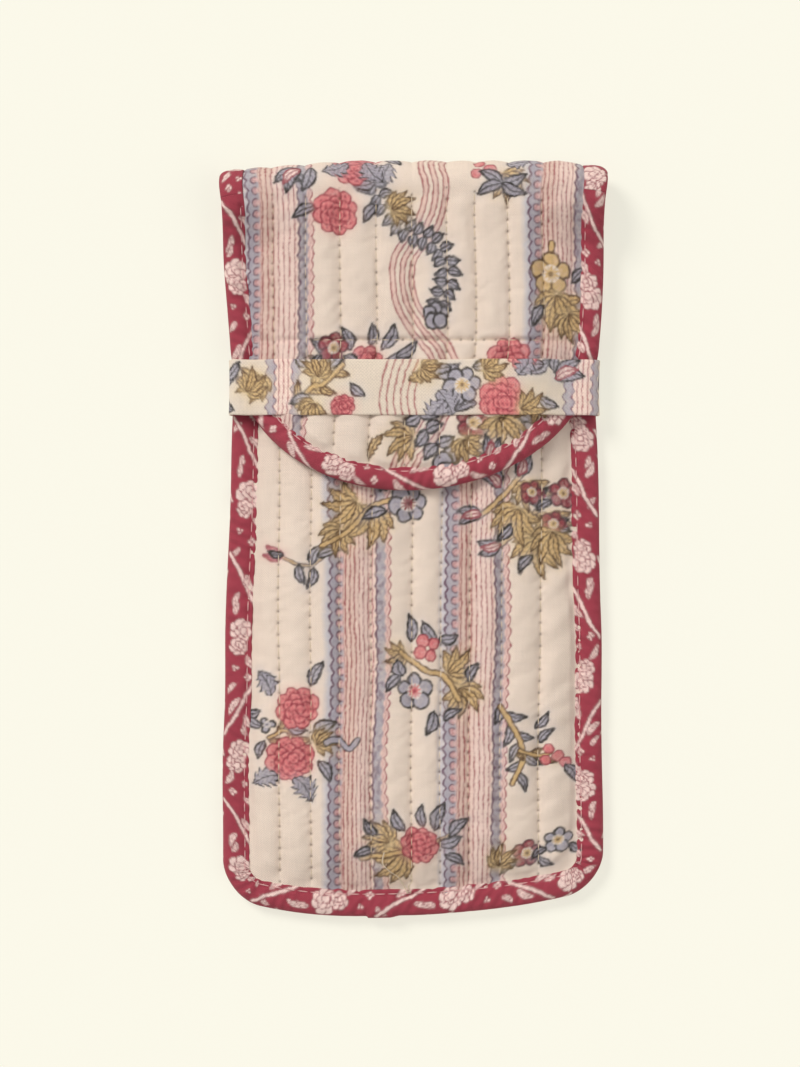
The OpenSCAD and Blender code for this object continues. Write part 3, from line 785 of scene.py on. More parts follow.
# ---------------------------------------------------------------- meshes
def new_mesh(name, points, faces, colours=None, cloth=None, settled=True):
    """A mesh object from points in mm, with a print colour and a cloth coordinate on every point."""
    mesh = bpy.data.meshes.new(name)
    points = np.asarray(points, float).reshape(-1, 3)
    points = (settle(points, name.startswith("flap_")) if settled else points) * MM
    mesh.from_pydata(points.tolist(), [], faces.tolist() if isinstance(faces, np.ndarray) else faces)
    if colours is not None:
        layer = mesh.attributes.new("print", "FLOAT_COLOR", "POINT")
        rgba = np.ones((len(points), 4))
        rgba[:, :3] = np.asarray(colours).reshape(-1, 3)
        layer.data.foreach_set("color", rgba.ravel())
    if cloth is not None:
        layer = mesh.attributes.new("cloth", "FLOAT_VECTOR", "POINT")
        layer.data.foreach_set("vector", np.asarray(cloth, float).reshape(-1, 3).ravel())
    mesh.polygons.foreach_set("use_smooth", np.full(len(mesh.polygons), True))
    mesh.update()
    obj = bpy.data.objects.new(name, mesh)
    bpy.context.scene.collection.objects.link(obj)
    return obj


def grid_faces(rows, cols, closed=False, flip=False):
    i, j = np.meshgrid(np.arange(rows - 1), np.arange(cols if closed else cols - 1), indexing="ij")
    i, j = i.ravel(), j.ravel()
    k = (j + 1) % cols
    quads = np.stack([i * cols + j, i * cols + k, (i + 1) * cols + k, (i + 1) * cols + j], 1)
    return quads[:, ::-1] if flip else quads


def sheet_mesh(name, points, colours=None, cloth=None, keep=None, flip=False):
    """Open cloth from points[row, column]. keep marks the points that the cut cloth has."""
    rows, cols = points.shape[:2]
    faces = grid_faces(rows, cols, flip=flip)
    if keep is None:
        return new_mesh(name, points, faces, colours, cloth)
    keep = keep.ravel()
    faces = faces[keep[faces].all(1)]
    used = np.unique(faces)
    place = np.full(rows * cols, -1)
    place[used] = np.arange(len(used))
    pick = [None if a is None else np.asarray(a).reshape(rows * cols, 3)[used] for a in (colours, cloth)]
    return new_mesh(name, points.reshape(-1, 3)[used], place[faces], pick[0], pick[1])


def tube_mesh(name, points, colours=None, cloth=None, flip=False, joined=False):
    """Closed skin through rings points[ring, place], capped by strips or joined end to end."""
    rings, n = points.shape[:2]
    faces = grid_faces(rings, n, closed=True, flip=flip).tolist()
    if joined:
        j = np.arange(n)
        k, last = (j + 1) % n, (rings - 1) * n
        link = np.stack([last + j, last + k, k, j], 1)
        faces += (link[:, ::-1] if flip else link).tolist()
        return new_mesh(name, points, faces, colours, cloth)
    obj = new_mesh(name, points, faces, colours, cloth)
    mesh = obj.data
    import bmesh
    bm = bmesh.new()
    bm.from_mesh(mesh)
    bmesh.ops.holes_fill(bm, edges=[e for e in bm.edges if e.is_boundary], sides=0)
    bm.to_mesh(mesh)
    bm.free()
    return obj


# ---------------------------------------------------------------- quilting
SWELL_FRAMES = 22
SWELL_MOST = 1.6
SIMULATED, DOMED = 0.45, 0.95
COVER_RISE = 0.12


def puffed(x, lines, power):
    """From 0 at the nearest stitch line up to 1 midway between two."""
    gap = np.min([np.abs(x - line) for line in lines], axis=0)
    return np.sin(PI * np.clip(gap / QUILT_PITCH, 0, 0.5)) ** power


def swell(xs, ys, z, lines, cross=None):
    """Swells a grid of cloth that is stitched down along lines, and returns how far each point moved.

    The cloth is a little larger than the space between its stitches, so it puffs and puckers as quilting.
    It is simulated ten times too large, which the solver handles better, and the move is scaled back.
    """
    scale = 10 * MM
    grid = np.stack([*np.meshgrid(xs, ys), z], -1)
    obj = new_mesh("swelling", grid * scale / MM, grid_faces(len(ys), len(xs)), settled=False)
    stitched = np.zeros(z.shape, bool)
    for x in lines:
        stitched[:, np.argmin(np.abs(xs - x))] = True
    if cross is not None:
        stitched[np.argmin(np.abs(ys - cross)), :] = True
    stitched[[0, -1], :] = True
    stitched[:, [0, -1]] = True
    pins = obj.vertex_groups.new(name="stitched")
    pins.add(np.flatnonzero(stitched.ravel()).tolist(), 1.0, "REPLACE")
    mod = obj.modifiers.new("cloth", "CLOTH")
    s = mod.settings
    s.quality = 6
    s.mass = 0.2
    s.tension_stiffness = s.compression_stiffness = 20
    s.shear_stiffness = 8
    s.bending_stiffness = 0.35
    s.air_damping = 4
    s.vertex_group_mass = "stitched"
    s.use_pressure = True
    s.uniform_pressure_force = 4.0
    s.shrink_min = -0.035
    s.effector_weights.gravity = 0
    mod.collision_settings.use_collision = False
    mod.collision_settings.use_self_collision = False
    mod.point_cache.frame_start, mod.point_cache.frame_end = 1, SWELL_FRAMES
    scene = bpy.context.scene
    for frame in range(1, SWELL_FRAMES + 1):
        scene.frame_set(frame)
    done = obj.evaluated_get(bpy.context.evaluated_depsgraph_get()).data
    after = np.empty(len(done.vertices) * 3)
    done.vertices.foreach_get("co", after)
    move = after.reshape(grid.shape) / scale - grid
    scene.frame_set(1)
    bpy.data.objects.remove(obj, do_unlink=True)
    length = np.linalg.norm(move, axis=-1, keepdims=True)
    move *= np.minimum(1, SWELL_MOST / np.maximum(length, 1e-9))
    move[..., :2] = np.clip(0.5 * move[..., :2], -0.3, 0.3)
    calm = move.copy()
    for _ in range(14):
        calm[1:-1] = (calm[:-2] + 2 * calm[1:-1] + calm[2:]) / 4
    keep = 1 if cross is None else ease(np.abs(ys - cross) / 4)[:, None, None]
    return move * (1 - 0.68 * keep) + calm * 0.68 * keep


def channel_places(start, end, lines, cells):
    """Grid places across the cloth, with one exactly on every stitch line."""
    stops = [start] + [x for x in lines if start + 3 < x < end - 3] + [end]
    out = [np.linspace(a, b, max(3, round((b - a) / cells)) + 1)[:-1] for a, b in zip(stops, stops[1:])]
    return np.concatenate(out + [[end]])


def refine(move, xs, ys, fine_x, fine_y):
    """The move of each point of the fine grid, from that of the coarse one."""
    across = row_weights(len(xs), np.interp(fine_x, xs, np.arange(len(xs))))
    down = row_weights(len(ys), np.interp(fine_y, ys, np.arange(len(ys))))
    return np.stack([down @ move[..., k] @ across.T for k in range(3)], -1)


def domes(x, y, lines, low, high, seed, cross=None):
    """Rounded height between each two stitch lines, a little uneven along its length."""
    stops = np.array([low] + list(lines) + [high])
    k = np.clip(np.searchsorted(stops, x) - 1, 0, len(stops) - 2)
    wide = stops[k + 1] - stops[k]
    t = np.clip((x - stops[k]) / wide, 0, 1)
    round_top = np.sin(PI * t) ** 0.62 * np.minimum(1, wide / 8.0)
    uneven = 1 + 0.16 * noise_grid(*x.shape, 24, seed) + 0.10 * noise_grid(*x.shape, 9, seed + 1)
    lift = round_top * uneven
    if cross is not None:
        lift = lift * (0.25 + 0.75 * np.sin(PI * np.clip(np.abs(y - cross) / 7, 0, 0.5)) ** 0.7)
    return lift


def pulls(shape, x, y, lines, seed):
    """Fine slanting wrinkles that run out from the stitches."""
    near = sum(hump(x - line, 2.6) for line in lines)
    slant = y - 0.8 * x + 1.6 * noise_grid(*shape, 20, seed)
    return 0.09 * np.sin(2 * PI * slant / 3.2) * near * (0.4 + 0.6 * noise_grid(*shape, 14, seed + 1))


def stitch_pull(x, y, lines, cross=None, x_range=None):
    """How far the thread pulls the cloth down: a narrow valley, deepest where a stitch goes in."""
    pull = np.zeros(np.broadcast(x, y).shape)
    for k, line in enumerate(lines):
        beat = 0.5 + 0.5 * np.cos(2 * PI * (y / STITCH_PITCH + STITCH_SHIFT * k))
        pull = np.maximum(pull, hump(x - line, 0.5) * (0.14 + 0.34 * beat**2))
        pull = np.maximum(pull, 0.14 * hump(x - line, 1.5))
    if cross is not None:
        beat = 0.5 + 0.5 * np.cos(2 * PI * x / STITCH_PITCH)
        inside = ease((x - x_range[0]) / 2) * ease((x_range[1] - x) / 2)
        pull = np.maximum(pull, hump(y - cross, 0.55) * (0.22 + 0.30 * beat) * inside)
    return pull


def needle_hole_shade(colours, x, y, lines, y_range, cross=None, x_range=None):
    """Painted shade: darkens the print in the dimples where the needle has gone in, one stitch apart."""
    hole_shade = np.zeros(x.shape)
    for k, line in enumerate(lines):
        shift = (y / STITCH_PITCH + STITCH_SHIFT * k + 0.5) % 1 - 0.5
        hole_shade = np.maximum(hole_shade, hump(x - line, 0.27) * hump(shift * STITCH_PITCH, 0.32))
    hole_shade *= (y > y_range[0]) & (y < y_range[1])
    if cross is not None:
        shift = (x / STITCH_PITCH + 0.5) % 1 - 0.5
        inside = (x > x_range[0]) & (x < x_range[1])
        hole_shade = np.maximum(hole_shade, hump(y - cross, 0.27) * hump(shift * STITCH_PITCH, 0.32) * inside)
    hole_shade = 0.85 * hole_shade[..., None]
    return colours * (1 - hole_shade) + linear(HOLE_SHADE) * hole_shade


def line_starts(runs):
    """Where the first stitch of each quilting line starts, so that the needle holes fall between stitches."""
    half_gap = (STITCH_PITCH - STITCH_LONG) / 2
    return [-STITCH_SHIFT * k * STITCH_PITCH - run[0][1] + half_gap for k, run in enumerate(runs)]


def height_reader(z, xs, ys):
    """A function that gives the height of the grid point nearest to each place."""
    def height(at_x, at_y):
        i = np.interp(at_y, ys, np.arange(len(ys)))
        j = np.interp(at_x, xs, np.arange(len(xs)))
        return z[np.round(i).astype(int), np.round(j).astype(int)]
    return height


def stitches(name, runs, height, slot, body, node, pitch=STITCH_PITCH, long=STITCH_LONG, lift=0.03,
             starts=None):
    """Thread seen as separate stitches along runs of [x, y] points, each arched over the cloth's height."""
    points, faces = [], []
    sides, steps = 6, 5
    up = np.array([0, 0, 1.0])
    for k, run in enumerate(runs):
        run = np.asarray(run, float)
        reach = along_of(run)
        first_start = 0.3 * pitch if starts is None else starts[k] % pitch
        for start in np.arange(first_start, reach[-1] - long, pitch):
            t = np.linspace(0, 1, steps)
            s = start + long * t
            x, y = np.interp(s, reach, run[:, 0]), np.interp(s, reach, run[:, 1])
            along = np.array([x[-1] - x[0], y[-1] - y[0], 0.0])
            along /= np.linalg.norm(along)
            side = np.array([along[1], -along[0], 0.0])
            arch = np.sin(PI * t)
            z = height(x, y) + lift + 0.14 * arch - 0.16
            size = THREAD / 2 * (0.45 + 0.55 * arch**0.5)
            first = len(points)
            for i in range(steps):
                for j in range(sides):
                    a = 2 * PI * j / sides
                    out = side * math.cos(a) + up * math.sin(a)
                    points.append(np.array([x[i], y[i], z[i]]) + size[i] * out)
            faces.extend((grid_faces(steps, sides, closed=True) + first).tolist())
            faces.append([first + j for j in range(sides)])
            faces.append([first + (steps - 1) * sides + j for j in reversed(range(sides))])
    finish_piece(new_mesh(name, points, faces), slot, body, node)


# ---------------------------------------------------------------- materials
MATERIALS = {}


def paint(obj, slot):
    obj.data.materials.clear()
    obj.data.materials.append(MATERIALS[slot])


class Nodes:
    """Short forms for making and joining shader nodes."""

    def __init__(self, name):
        self.material = bpy.data.materials.new(name)
        self.material.use_nodes = True
        self.tree = self.material.node_tree
        self.tree.nodes.clear()
        self.shader = self.add("ShaderNodeBsdfPrincipled")
        out = self.add("ShaderNodeOutputMaterial")
        self.join(self.shader.outputs[0], out.inputs["Surface"])

    def add(self, kind, **values):
        node = self.tree.nodes.new(kind)
        for key, value in values.items():
            setattr(node, key, value)
        return node

    def join(self, a, b):
        self.tree.links.new(a, b)

    def put(self, socket, value):
        if isinstance(value, bpy.types.NodeSocket):
            self.join(value, socket)
        else:
            socket.default_value = value

    def math(self, operation, a, b=0.0, c=0.0):
        node = self.add("ShaderNodeMath", operation=operation)
        for socket, value in zip(node.inputs, (a, b, c)):
            self.put(socket, value)
        return node.outputs[0]

    def attribute(self, name, output):
        return self.add("ShaderNodeAttribute", attribute_name=name).outputs[output]

    def noise(self, vector, scale, detail=2.0, stretch=(1, 1, 1)):
        mapping = self.add("ShaderNodeMapping")
        mapping.inputs["Scale"].default_value = stretch
        self.join(vector, mapping.inputs["Vector"])
        node = self.add("ShaderNodeTexNoise")
        node.inputs["Scale"].default_value = scale
        node.inputs["Detail"].default_value = detail
        self.join(mapping.outputs[0], node.inputs["Vector"])
        return node.outputs["Fac"]

    def mix(self, kind, factor, a, b):
        node = self.add("ShaderNodeMix", data_type="RGBA", blend_type=kind)
        self.put(node.inputs["Factor"], factor)
        self.put(node.inputs["A"], a)
        self.put(node.inputs["B"], b)
        return node.outputs["Result"]

    def bump(self, height, strength, distance):
        node = self.add("ShaderNodeBump")
        node.inputs["Strength"].default_value = strength
        node.inputs["Distance"].default_value = distance
        self.join(height, node.inputs["Height"])
        self.join(node.outputs[0], self.shader.inputs["Normal"])


def weave(n, vector, pitch):
    """Over-and-under of a plain weave, from 0 to 1, with uneven threads. vector is in mm along them."""
    part = n.add("ShaderNodeSeparateXYZ")
    n.join(vector, part.inputs[0])
    wander = n.noise(vector, 0.9, 1.0)
    turn = 2 * PI / pitch
    waves = []
    for axis in (0, 1):
        shifted = n.math("MULTIPLY_ADD", wander, 0.55, part.outputs[axis])
        waves.append(n.math("SINE", n.math("MULTIPLY", shifted, turn)))
    product = n.math("MULTIPLY", waves[0], waves[1])
    return n.math("MULTIPLY_ADD", product, 0.5, 0.5)


def cotton(slot, pitch, relief, weave_shade=0.10, level=0.92, colour=None):
    """Woven cotton: threads that vary, a soft nap, and the print, or one colour, worn a little, with painted
    weave shade.
    """
    n = Nodes(slot)
    cloth = n.attribute("cloth", "Vector")
    over = weave(n, cloth, pitch)
    warp = n.noise(cloth, 1.0, 3.0, (2.6, 0.16, 1))
    weft = n.noise(cloth, 1.0, 3.0, (0.16, 2.6, 1))
    slub = n.math("ADD", n.math("MULTIPLY", warp, 0.5), n.math("MULTIPLY", weft, 0.5))
    nap = n.noise(cloth, 5.5, 4.0)
    stain = n.noise(cloth, 0.07, 3.0)
    base = (*linear(colour), 1) if colour else n.attribute("print", "Color")
    # Painted shade of the weave: the colour is lighter where the weave stands up and darker where it dips
    light = n.math("MULTIPLY_ADD", over, weave_shade, level - weave_shade * 0.5)
    # Slub, stain and nap below are the cloth's own uneven tone
    light = n.math("MULTIPLY", light, n.math("MULTIPLY_ADD", slub, 0.34, 0.83))
    light = n.math("MULTIPLY", light, n.math("MULTIPLY_ADD", stain, 0.10, 0.95))
    light = n.math("MULTIPLY", light, n.math("MULTIPLY_ADD", nap, 0.26, 0.87))
    grey = n.add("ShaderNodeCombineColor")
    for socket in grey.inputs[:3]:
        n.join(light, socket)
    worn = n.mix("MIX", n.math("MULTIPLY", nap, 0.10), base, (*linear((238, 224, 208)), 1))
    n.join(n.mix("MULTIPLY", 1.0, worn, grey.outputs[0]), n.shader.inputs["Base Color"])
    rough = n.math("MULTIPLY_ADD", slub, 0.14, 0.80)
    n.join(rough, n.shader.inputs["Roughness"])
    n.shader.inputs["Specular IOR Level"].default_value = 0.22
    n.shader.inputs["Sheen Weight"].default_value = 0.10
    n.shader.inputs["Sheen Roughness"].default_value = 0.5
    height = n.math("ADD", n.math("MULTIPLY", over, 0.55), n.math("ADD", slub, n.math("MULTIPLY", nap, 0.5)))
    n.bump(height, 1.0, relief * MM)
    MATERIALS[slot] = n.material


def thread_material(slot, colour):
    """Twisted sewing thread."""
    n = Nodes(slot)
    where = n.add("ShaderNodeTexCoord").outputs["Object"]
    ply = n.noise(where, 3200, 2.0)
    shade = n.noise(where, 260, 2.0)
    dark = (*(linear(colour) * 0.62), 1)
    tone = n.mix("MIX", n.math("MULTIPLY_ADD", ply, 0.6, 0.2), dark, (*linear(colour), 1))
    pale = (*np.minimum(1, linear(colour) * 1.15), 1)
    n.join(n.mix("MIX", n.math("MULTIPLY", shade, 0.6), tone, pale), n.shader.inputs["Base Color"])
    n.join(n.math("MULTIPLY_ADD", ply, 0.2, 0.6), n.shader.inputs["Roughness"])
    n.shader.inputs["Sheen Weight"].default_value = 0.2
    n.bump(ply, 0.8, 0.05 * MM)
    MATERIALS[slot] = n.material


def wadding_material():
    n = Nodes("wadding")
    where = n.add("ShaderNodeTexCoord").outputs["Object"]
    fibre = n.noise(where, 900, 5.0, (1, 0.3, 1))
    clump = n.noise(where, 120, 3.0)
    tone = n.mix("MIX", fibre, (*linear((214, 208, 196)), 1), (*linear((248, 245, 238)), 1))
    n.join(n.mix("MULTIPLY", 0.3, tone, (*linear((240, 235, 225)), 1)), n.shader.inputs["Base Color"])
    n.join(n.math("MULTIPLY_ADD", clump, 0.1, 0.88), n.shader.inputs["Roughness"])
    n.bump(n.math("ADD", fibre, clump), 1.0, 0.3 * MM)
    MATERIALS["wadding"] = n.material


cotton("printed_cotton", pitch=0.60, relief=0.13, weave_shade=0.23)
cotton("band_cotton", pitch=0.84, relief=0.12, weave_shade=0.17, level=1.03)
cotton("raspberry_cotton", pitch=0.62, relief=0.16, weave_shade=0.24)
cotton("lining_cotton", pitch=0.62, relief=0.07, colour=(232, 220, 200))
wadding_material()
thread_material("cream_thread", (218, 198, 170))
thread_material("pink_thread", (224, 172, 170))


def finish_piece(obj, slot, body, *nodes):
    """Paints a piece, and puts it on a body in the place of the CAD nodes that it stands for."""
    paint(obj, slot)
    if body:
        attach(obj, body)
    if nodes:
        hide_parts(*nodes)


def cloth_of(x, y):
    return np.stack([x, y, np.zeros(np.shape(x))], -1)


# ---------------------------------------------------------------- front panel
FRONT_LOW, FRONT_HIGH = BOTTOM + 4.0, MOUTH - 1.2
FLAP_START = TIP + 1.5
FRONT_PRINT = front_print()
PANEL_PRINT = panel_print()


def quilt(base, lines, ys, held_by, seed, half, cross=None, cross_x=None, drag=None):
    """The quilted shape of a cover, as its grid places, its grid, how far each point moves and its height.

    base gives the height of its seams. held_by is 0 where it lies flat under a binding or at the fold.
    """
    xs = channel_places(-PANEL_HALF, PANEL_HALF, lines, 1.25)
    move = swell(xs, ys, base(*np.meshgrid(xs, ys)), lines, cross)
    fine_x, fine_y = spread(-PANEL_HALF, PANEL_HALF, FINE), spread(ys[0], ys[-1], FINE)
    x, y = np.meshgrid(fine_x, fine_y)
    held = held_by(x, y)
    moved = refine(move, xs, ys, fine_x, fine_y) * held[..., None]
    domed = domes(x, y, lines, -half, half, seed + 3, cross)
    moved[..., 2] = SIMULATED * moved[..., 2] + DOMED * domed * held
    crease = 0.18 * noise_grid(*x.shape, 13, seed) + 0.06 * noise_grid(*x.shape, 5, seed + 1)
    crease += pulls(x.shape, x, y, lines, seed + 2)
    if drag is not None:
        crease += drag(x, y)
    pull = stitch_pull(x, y, lines, cross, cross_x)
    z = base(x, y) + moved[..., 2] + COVER_RISE + (crease - pull) * held
    return fine_x, fine_y, x, y, moved, z


def front_drag(x, y):
    """Slanting folds near the right side."""
    waves = np.sin(2 * PI * (y - 0.65 * x + 2.5 * noise_grid(*x.shape, 30, 8)) / 7.5) * ease((x - 22) / 14)
    return 0.20 * waves * (0.5 + 0.5 * noise_grid(*x.shape, 24, 9))


def front_held(x, y):
    return ease((pouch_inset(x, y) - BIND_W + 1.2) / 3.0) * ease((MOUTH - FLAP_BIND_W + 1 - y) / 3)


def front_cover():
    """The printed cover of the pocket's front, with its quilting stitches."""
    places = spread(FRONT_LOW, FRONT_HIGH, COARSE)
    xs, ys, x, y, moved, z = quilt(lambda x, y: FRONT_SEAM_Z + front_base(x, y), FRONT_LINES, places,
                                   front_held, 3, 42.5, drag=front_drag)
    z = np.maximum(z, 3.32 + front_base(x, y))
    points = np.stack([x + moved[..., 0], y + moved[..., 1], z], -1)
    # The print, with painted shade in the needle holes
    colours = needle_hole_shade(FRONT_PRINT.sample(x, y), x, y, FRONT_LINES, (BOTTOM, TOP))
    obj = sheet_mesh("front_panel_cover", points, colours, cloth_of(x, y))
    finish_piece(obj, "printed_cotton", "pouch", "front_cover")
    runs = [[(line, FRONT_LOW + 4.5), (line, MOUTH - 6.5)] for line in FRONT_LINES]
    stitches("front_panel_quilting", runs, height_reader(z, xs, ys), "cream_thread", "pouch",
             "front_quilting", starts=line_starts(runs))


def lining_sheet(name, xs, ys, height, lines, body, node, keep=None, flip=False):
    """Plain lining, dimpled where the quilting comes through."""
    x, y = np.meshgrid(xs, ys)
    dimple = 0.22 * sum(hump(x - line, 0.9) for line in lines)
    z = height(x, y) + 0.06 * noise_grid(*x.shape, 6, 71) + (dimple if flip else -dimple)
    kept = None if keep is None else keep(x, y)
    obj = sheet_mesh(name, np.stack([x, y, z], -1), None, cloth_of(x, y), kept, flip)
    finish_piece(obj, "lining_cotton", body, node)


def wadding_pad(name, xs, ys, low, high, body, node, half_width=None):
    """Closed pad between two heights, as rings across the panel."""
    x, y = np.meshgrid(xs, ys)
    if half_width is not None:
        x = x * (half_width(y) / np.abs(xs).max())
    lower = np.stack([x, y, low(x, y)], -1)
    upper = np.stack([x, y, high(x, y)], -1)[:, ::-1]
    obj = tube_mesh(name, np.concatenate([lower, upper], 1))
    finish_piece(obj, "wadding", body, node)


def front_panel():
    front_cover()
    xs, ys = spread(-PANEL_HALF, PANEL_HALF, 1.0), spread(FRONT_LOW, FRONT_HIGH, 1.0)
    lining_sheet("front_panel_lining", xs, ys, lambda x, y: FRONT_Z + 0.15 + front_base(x, y), FRONT_LINES,
                 "pouch", "front_lining", flip=True)
    xs, ys = spread(-PAD_HALF, PAD_HALF, COARSE), spread(BOTTOM + 5, MOUTH - 1.6, COARSE)
    wadding_pad("front_panel_wadding", xs, ys, lambda x, y: 2.75 + front_base(x, y),
                lambda x, y: 3.1 + front_base(x, y), "pouch", "front_wadding")


# ---------------------------------------------------------------- back panel
def band_dent(y, reach=2.2):
    """1 where the band crosses, falling to 0 beside it."""
    return ease((BAND_HALF + reach - np.abs(y - BAND_Y)) / reach)


def back_panel():
    """The pouch's back: cover, quilting stitches, lining and wadding."""
    xs, ys = spread(-PANEL_HALF, PANEL_HALF, 0.42), spread(BOTTOM + 4, FOLD_Y, 0.42)
    x, y = np.meshgrid(xs, ys)
    rim = ease((pouch_inset(x, y) - BIND_W + 1.0) / 2.5)
    open_at_fold = ease((FOLD_Y - y) / 4)
    z = 0.72 - 0.65 * puffed(x, FRONT_LINES, 0.55) * rim * open_at_fold - 0.05 * (1 - open_at_fold)
    z += 0.05 * noise_grid(*x.shape, 9, 8) * rim + 0.5 * stitch_pull(x, y, FRONT_LINES) * rim * open_at_fold
    z = np.maximum(z * (1 - band_dent(y)) + OVER_BAND * band_dent(y), 0.03)
    z = z * open_at_fold + 0.02 * (1 - open_at_fold)
    v = FOLD_Y + PI * FOLD_R + (FOLD_Y - y)
    points = np.stack([x, y, z], -1)
    obj = sheet_mesh("back_panel_cover", points, PANEL_PRINT.sample(x, v), cloth_of(x, v), flip=True)
    finish_piece(obj, "printed_cotton", "pouch", "back_cover")
    runs = []
    for line in FRONT_LINES:
        runs.append([(line, BOTTOM + 9), (line, BAND_LO[1] - 2)])
        runs.append([(line, BAND_HI[1] + 2), (line, FOLD_Y - 2)])
    stitches("back_panel_quilting", runs, height_reader(z - 0.14, xs, ys), "cream_thread", "pouch",
             "back_quilting", lift=0.0)
    xs, ys = spread(-PANEL_HALF, PANEL_HALF, 1.0), spread(BOTTOM + 4, FOLD_Y, 1.0)
    lining_sheet("back_panel_lining", xs, ys, lambda x, y: PANEL_T - 0.02 + 0 * x, FRONT_LINES,
                 "pouch", "back_lining")
    xs, ys = spread(-PAD_HALF, PAD_HALF, 2.2), spread(BOTTOM + 5, FOLD_Y - 0.4, 2.2)
    wadding_pad("back_panel_wadding", xs, ys, lambda x, y: 1.1 + 0 * x, lambda x, y: 1.75 + 0 * x,
                "pouch", "back_wadding")


# ---------------------------------------------------------------- flap
def flap_kept(x, y):
    return (flap_inset(x, y) > 2.0) & (y > TIP)


def flap_held(x, y):
    return ease((flap_inset(x, y) - FLAP_BIND_W + 1.4) / 3.0) * ease((FOLD_Y - y) / 5)


def flap_cover():
    """The flap's printed cover, quilted down its length and once across."""
    places = np.concatenate([spread(FLAP_START, CROSS_Y, COARSE)[:-1], spread(CROSS_Y, FOLD_Y, COARSE)])
    xs, ys, x, y, moved, z = quilt(lambda x, y: flap_low(x, y) + PANEL_T - 0.75, FLAP_LINES, places,
                                   flap_held, 13, 43, CROSS_Y, CROSS_X)
    at_fold = ease((FOLD_Y - y) / 5)
    root = 2 * FOLD_R - 0.02 - tuck(x)
    z = np.maximum(z, flap_low(x, y) + 1.28) * at_fold + root * (1 - at_fold)
    points = np.stack([x + moved[..., 0], y + moved[..., 1], z], -1)
    kept = flap_kept(x, y)
    # The print, with painted shade in the needle holes
    colours = needle_hole_shade(PANEL_PRINT.sample(x, y), x, y, FLAP_LINES, (TIP, FOLD_Y), CROSS_Y, CROSS_X)
    obj = sheet_mesh("flap_cover_cloth", points, colours, cloth_of(x, y), kept)
    finish_piece(obj, "printed_cotton", "flap", "flap_cover")
    runs = [[(line, float(flap_edge(line)) + FLAP_BIND_W + 0.8), (line, FOLD_Y - 1.5)] for line in FLAP_LINES]
    starts = line_starts(runs) + [28.0 + 0.25]
    runs.append([(-28.0, CROSS_Y), (33.4, CROSS_Y)])
    stitches("flap_quilting_thread", runs, height_reader(z, xs, ys), "cream_thread", "flap", "flap_quilting",
             starts=starts)


def flap_panel():
    flap_cover()
    xs, ys = spread(-PANEL_HALF, PANEL_HALF, 0.9), spread(FLAP_START, FOLD_Y, 0.9)
    lining_sheet("flap_lining_cloth", xs, ys, lambda x, y: flap_low(x, y) + 0.15, FLAP_LINES, "flap",
                 "flap_lining", flap_kept, flip=True)
    end = FLAP_END - 2.5
    xs = spread(-PAD_HALF, PAD_HALF, COARSE)
    curve = CURVE_Y - end * np.sin(np.linspace(1.5, 0.1, 28))
    ys = np.concatenate([curve, spread(CURVE_Y, FOLD_Y - 0.4, COARSE)])
    wadding_pad("flap_wadding_pad", xs, ys, lambda x, y: flap_low(x, y) + 0.6,
                lambda x, y: flap_low(x, y) + 1.0, "flap", "flap_wadding",
                lambda y: np.minimum(PAD_HALF, flap_side(y) * end / FLAP_END - 0.5))


# ---------------------------------------------------------------- fold
def tuck(x):
    """How far the cover goes under the binding beside the fold."""
    return 0.55 * ease((np.abs(x) - 42.6) / 1.2)


def round_fold(x, r, a):
    """Points at radius r and angle a round the hinge."""
    return np.stack([x, FOLD_Y + r * np.cos(a), FOLD_R + r * np.sin(a)], -1)


def bend_round_fold(obj, slot, node):
    """Paints a piece that lies round the hinge, hides its CAD node and bakes its place; it goes on no body.
    """
    finish_piece(obj, slot, None, node)
    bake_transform(obj)


def fold_sheet(name, radius, step, slot, node, printed, rise):
    """Cloth that turns half round the hinge, from the back panel to the flap."""
    xs = spread(-PANEL_HALF, PANEL_HALF, step)
    x, a = np.meshgrid(xs, np.linspace(-PI / 2, PI / 2, int(PI * radius / step) + 2))
    puff = rise * (puffed(x, FLAP_LINES, 0.6) - 0.6) * np.maximum(0, np.cos(a)) ** 0.7
    puff *= ease((43 - np.abs(x)) / 4)
    r = radius + puff + 0.05 * noise_grid(*x.shape, 6, 21) * np.cos(a) - tuck(x) * (1 if printed else 0)
    v = FOLD_Y + FOLD_R * (PI / 2 - a)
    colours = PANEL_PRINT.sample(x, v) if printed else None
    obj = sheet_mesh(name, round_fold(x, r, a), colours, cloth_of(x, v), flip=not printed)
    bend_round_fold(obj, slot, node)


def fold():
    """The cover, lining and wadding where the panel turns round the hinge."""
    fold_sheet("fold_cover_cloth", FOLD_R - 0.02, FINE, "printed_cotton", "fold_cover", True, 0.6)
    inner = FOLD_R - PANEL_T + 0.02
    fold_sheet("fold_lining_cloth", inner, 0.8, "lining_cotton", "fold_lining", False, -0.15)
    outer_gap, inner_gap = 1.1, 1.75
    x, a = np.meshgrid(spread(-PAD_HALF, PAD_HALF, 2.2), np.linspace(-PI / 2 + 0.06, PI / 2 - 0.06, 22))
    inside, outside = (round_fold(x, FOLD_R - gap, a) for gap in (inner_gap, outer_gap))
    obj = tube_mesh("fold_wadding_pad", np.concatenate([inside, outside[:, ::-1]], 1), flip=True)
    bend_round_fold(obj, "wadding", "fold_wadding")


# ---------------------------------------------------------------- bindings
def section_curve(controls, count):
    """count points along a smooth curve through control pairs, evenly spaced, and their places along it."""
    path = row_weights(len(controls), np.linspace(0, len(controls) - 1, 240)) @ np.array(controls, float)
    reach = along_of(path)
    s = np.linspace(0, reach[-1], count)
    return np.stack([np.interp(s, reach, path[:, k]) for k in (0, 1)], 1), s


# How far in from the edge the bindings' topstitching runs
EDGE_STITCH_IN, FLAP_STITCH_IN = 5.8, 4.9

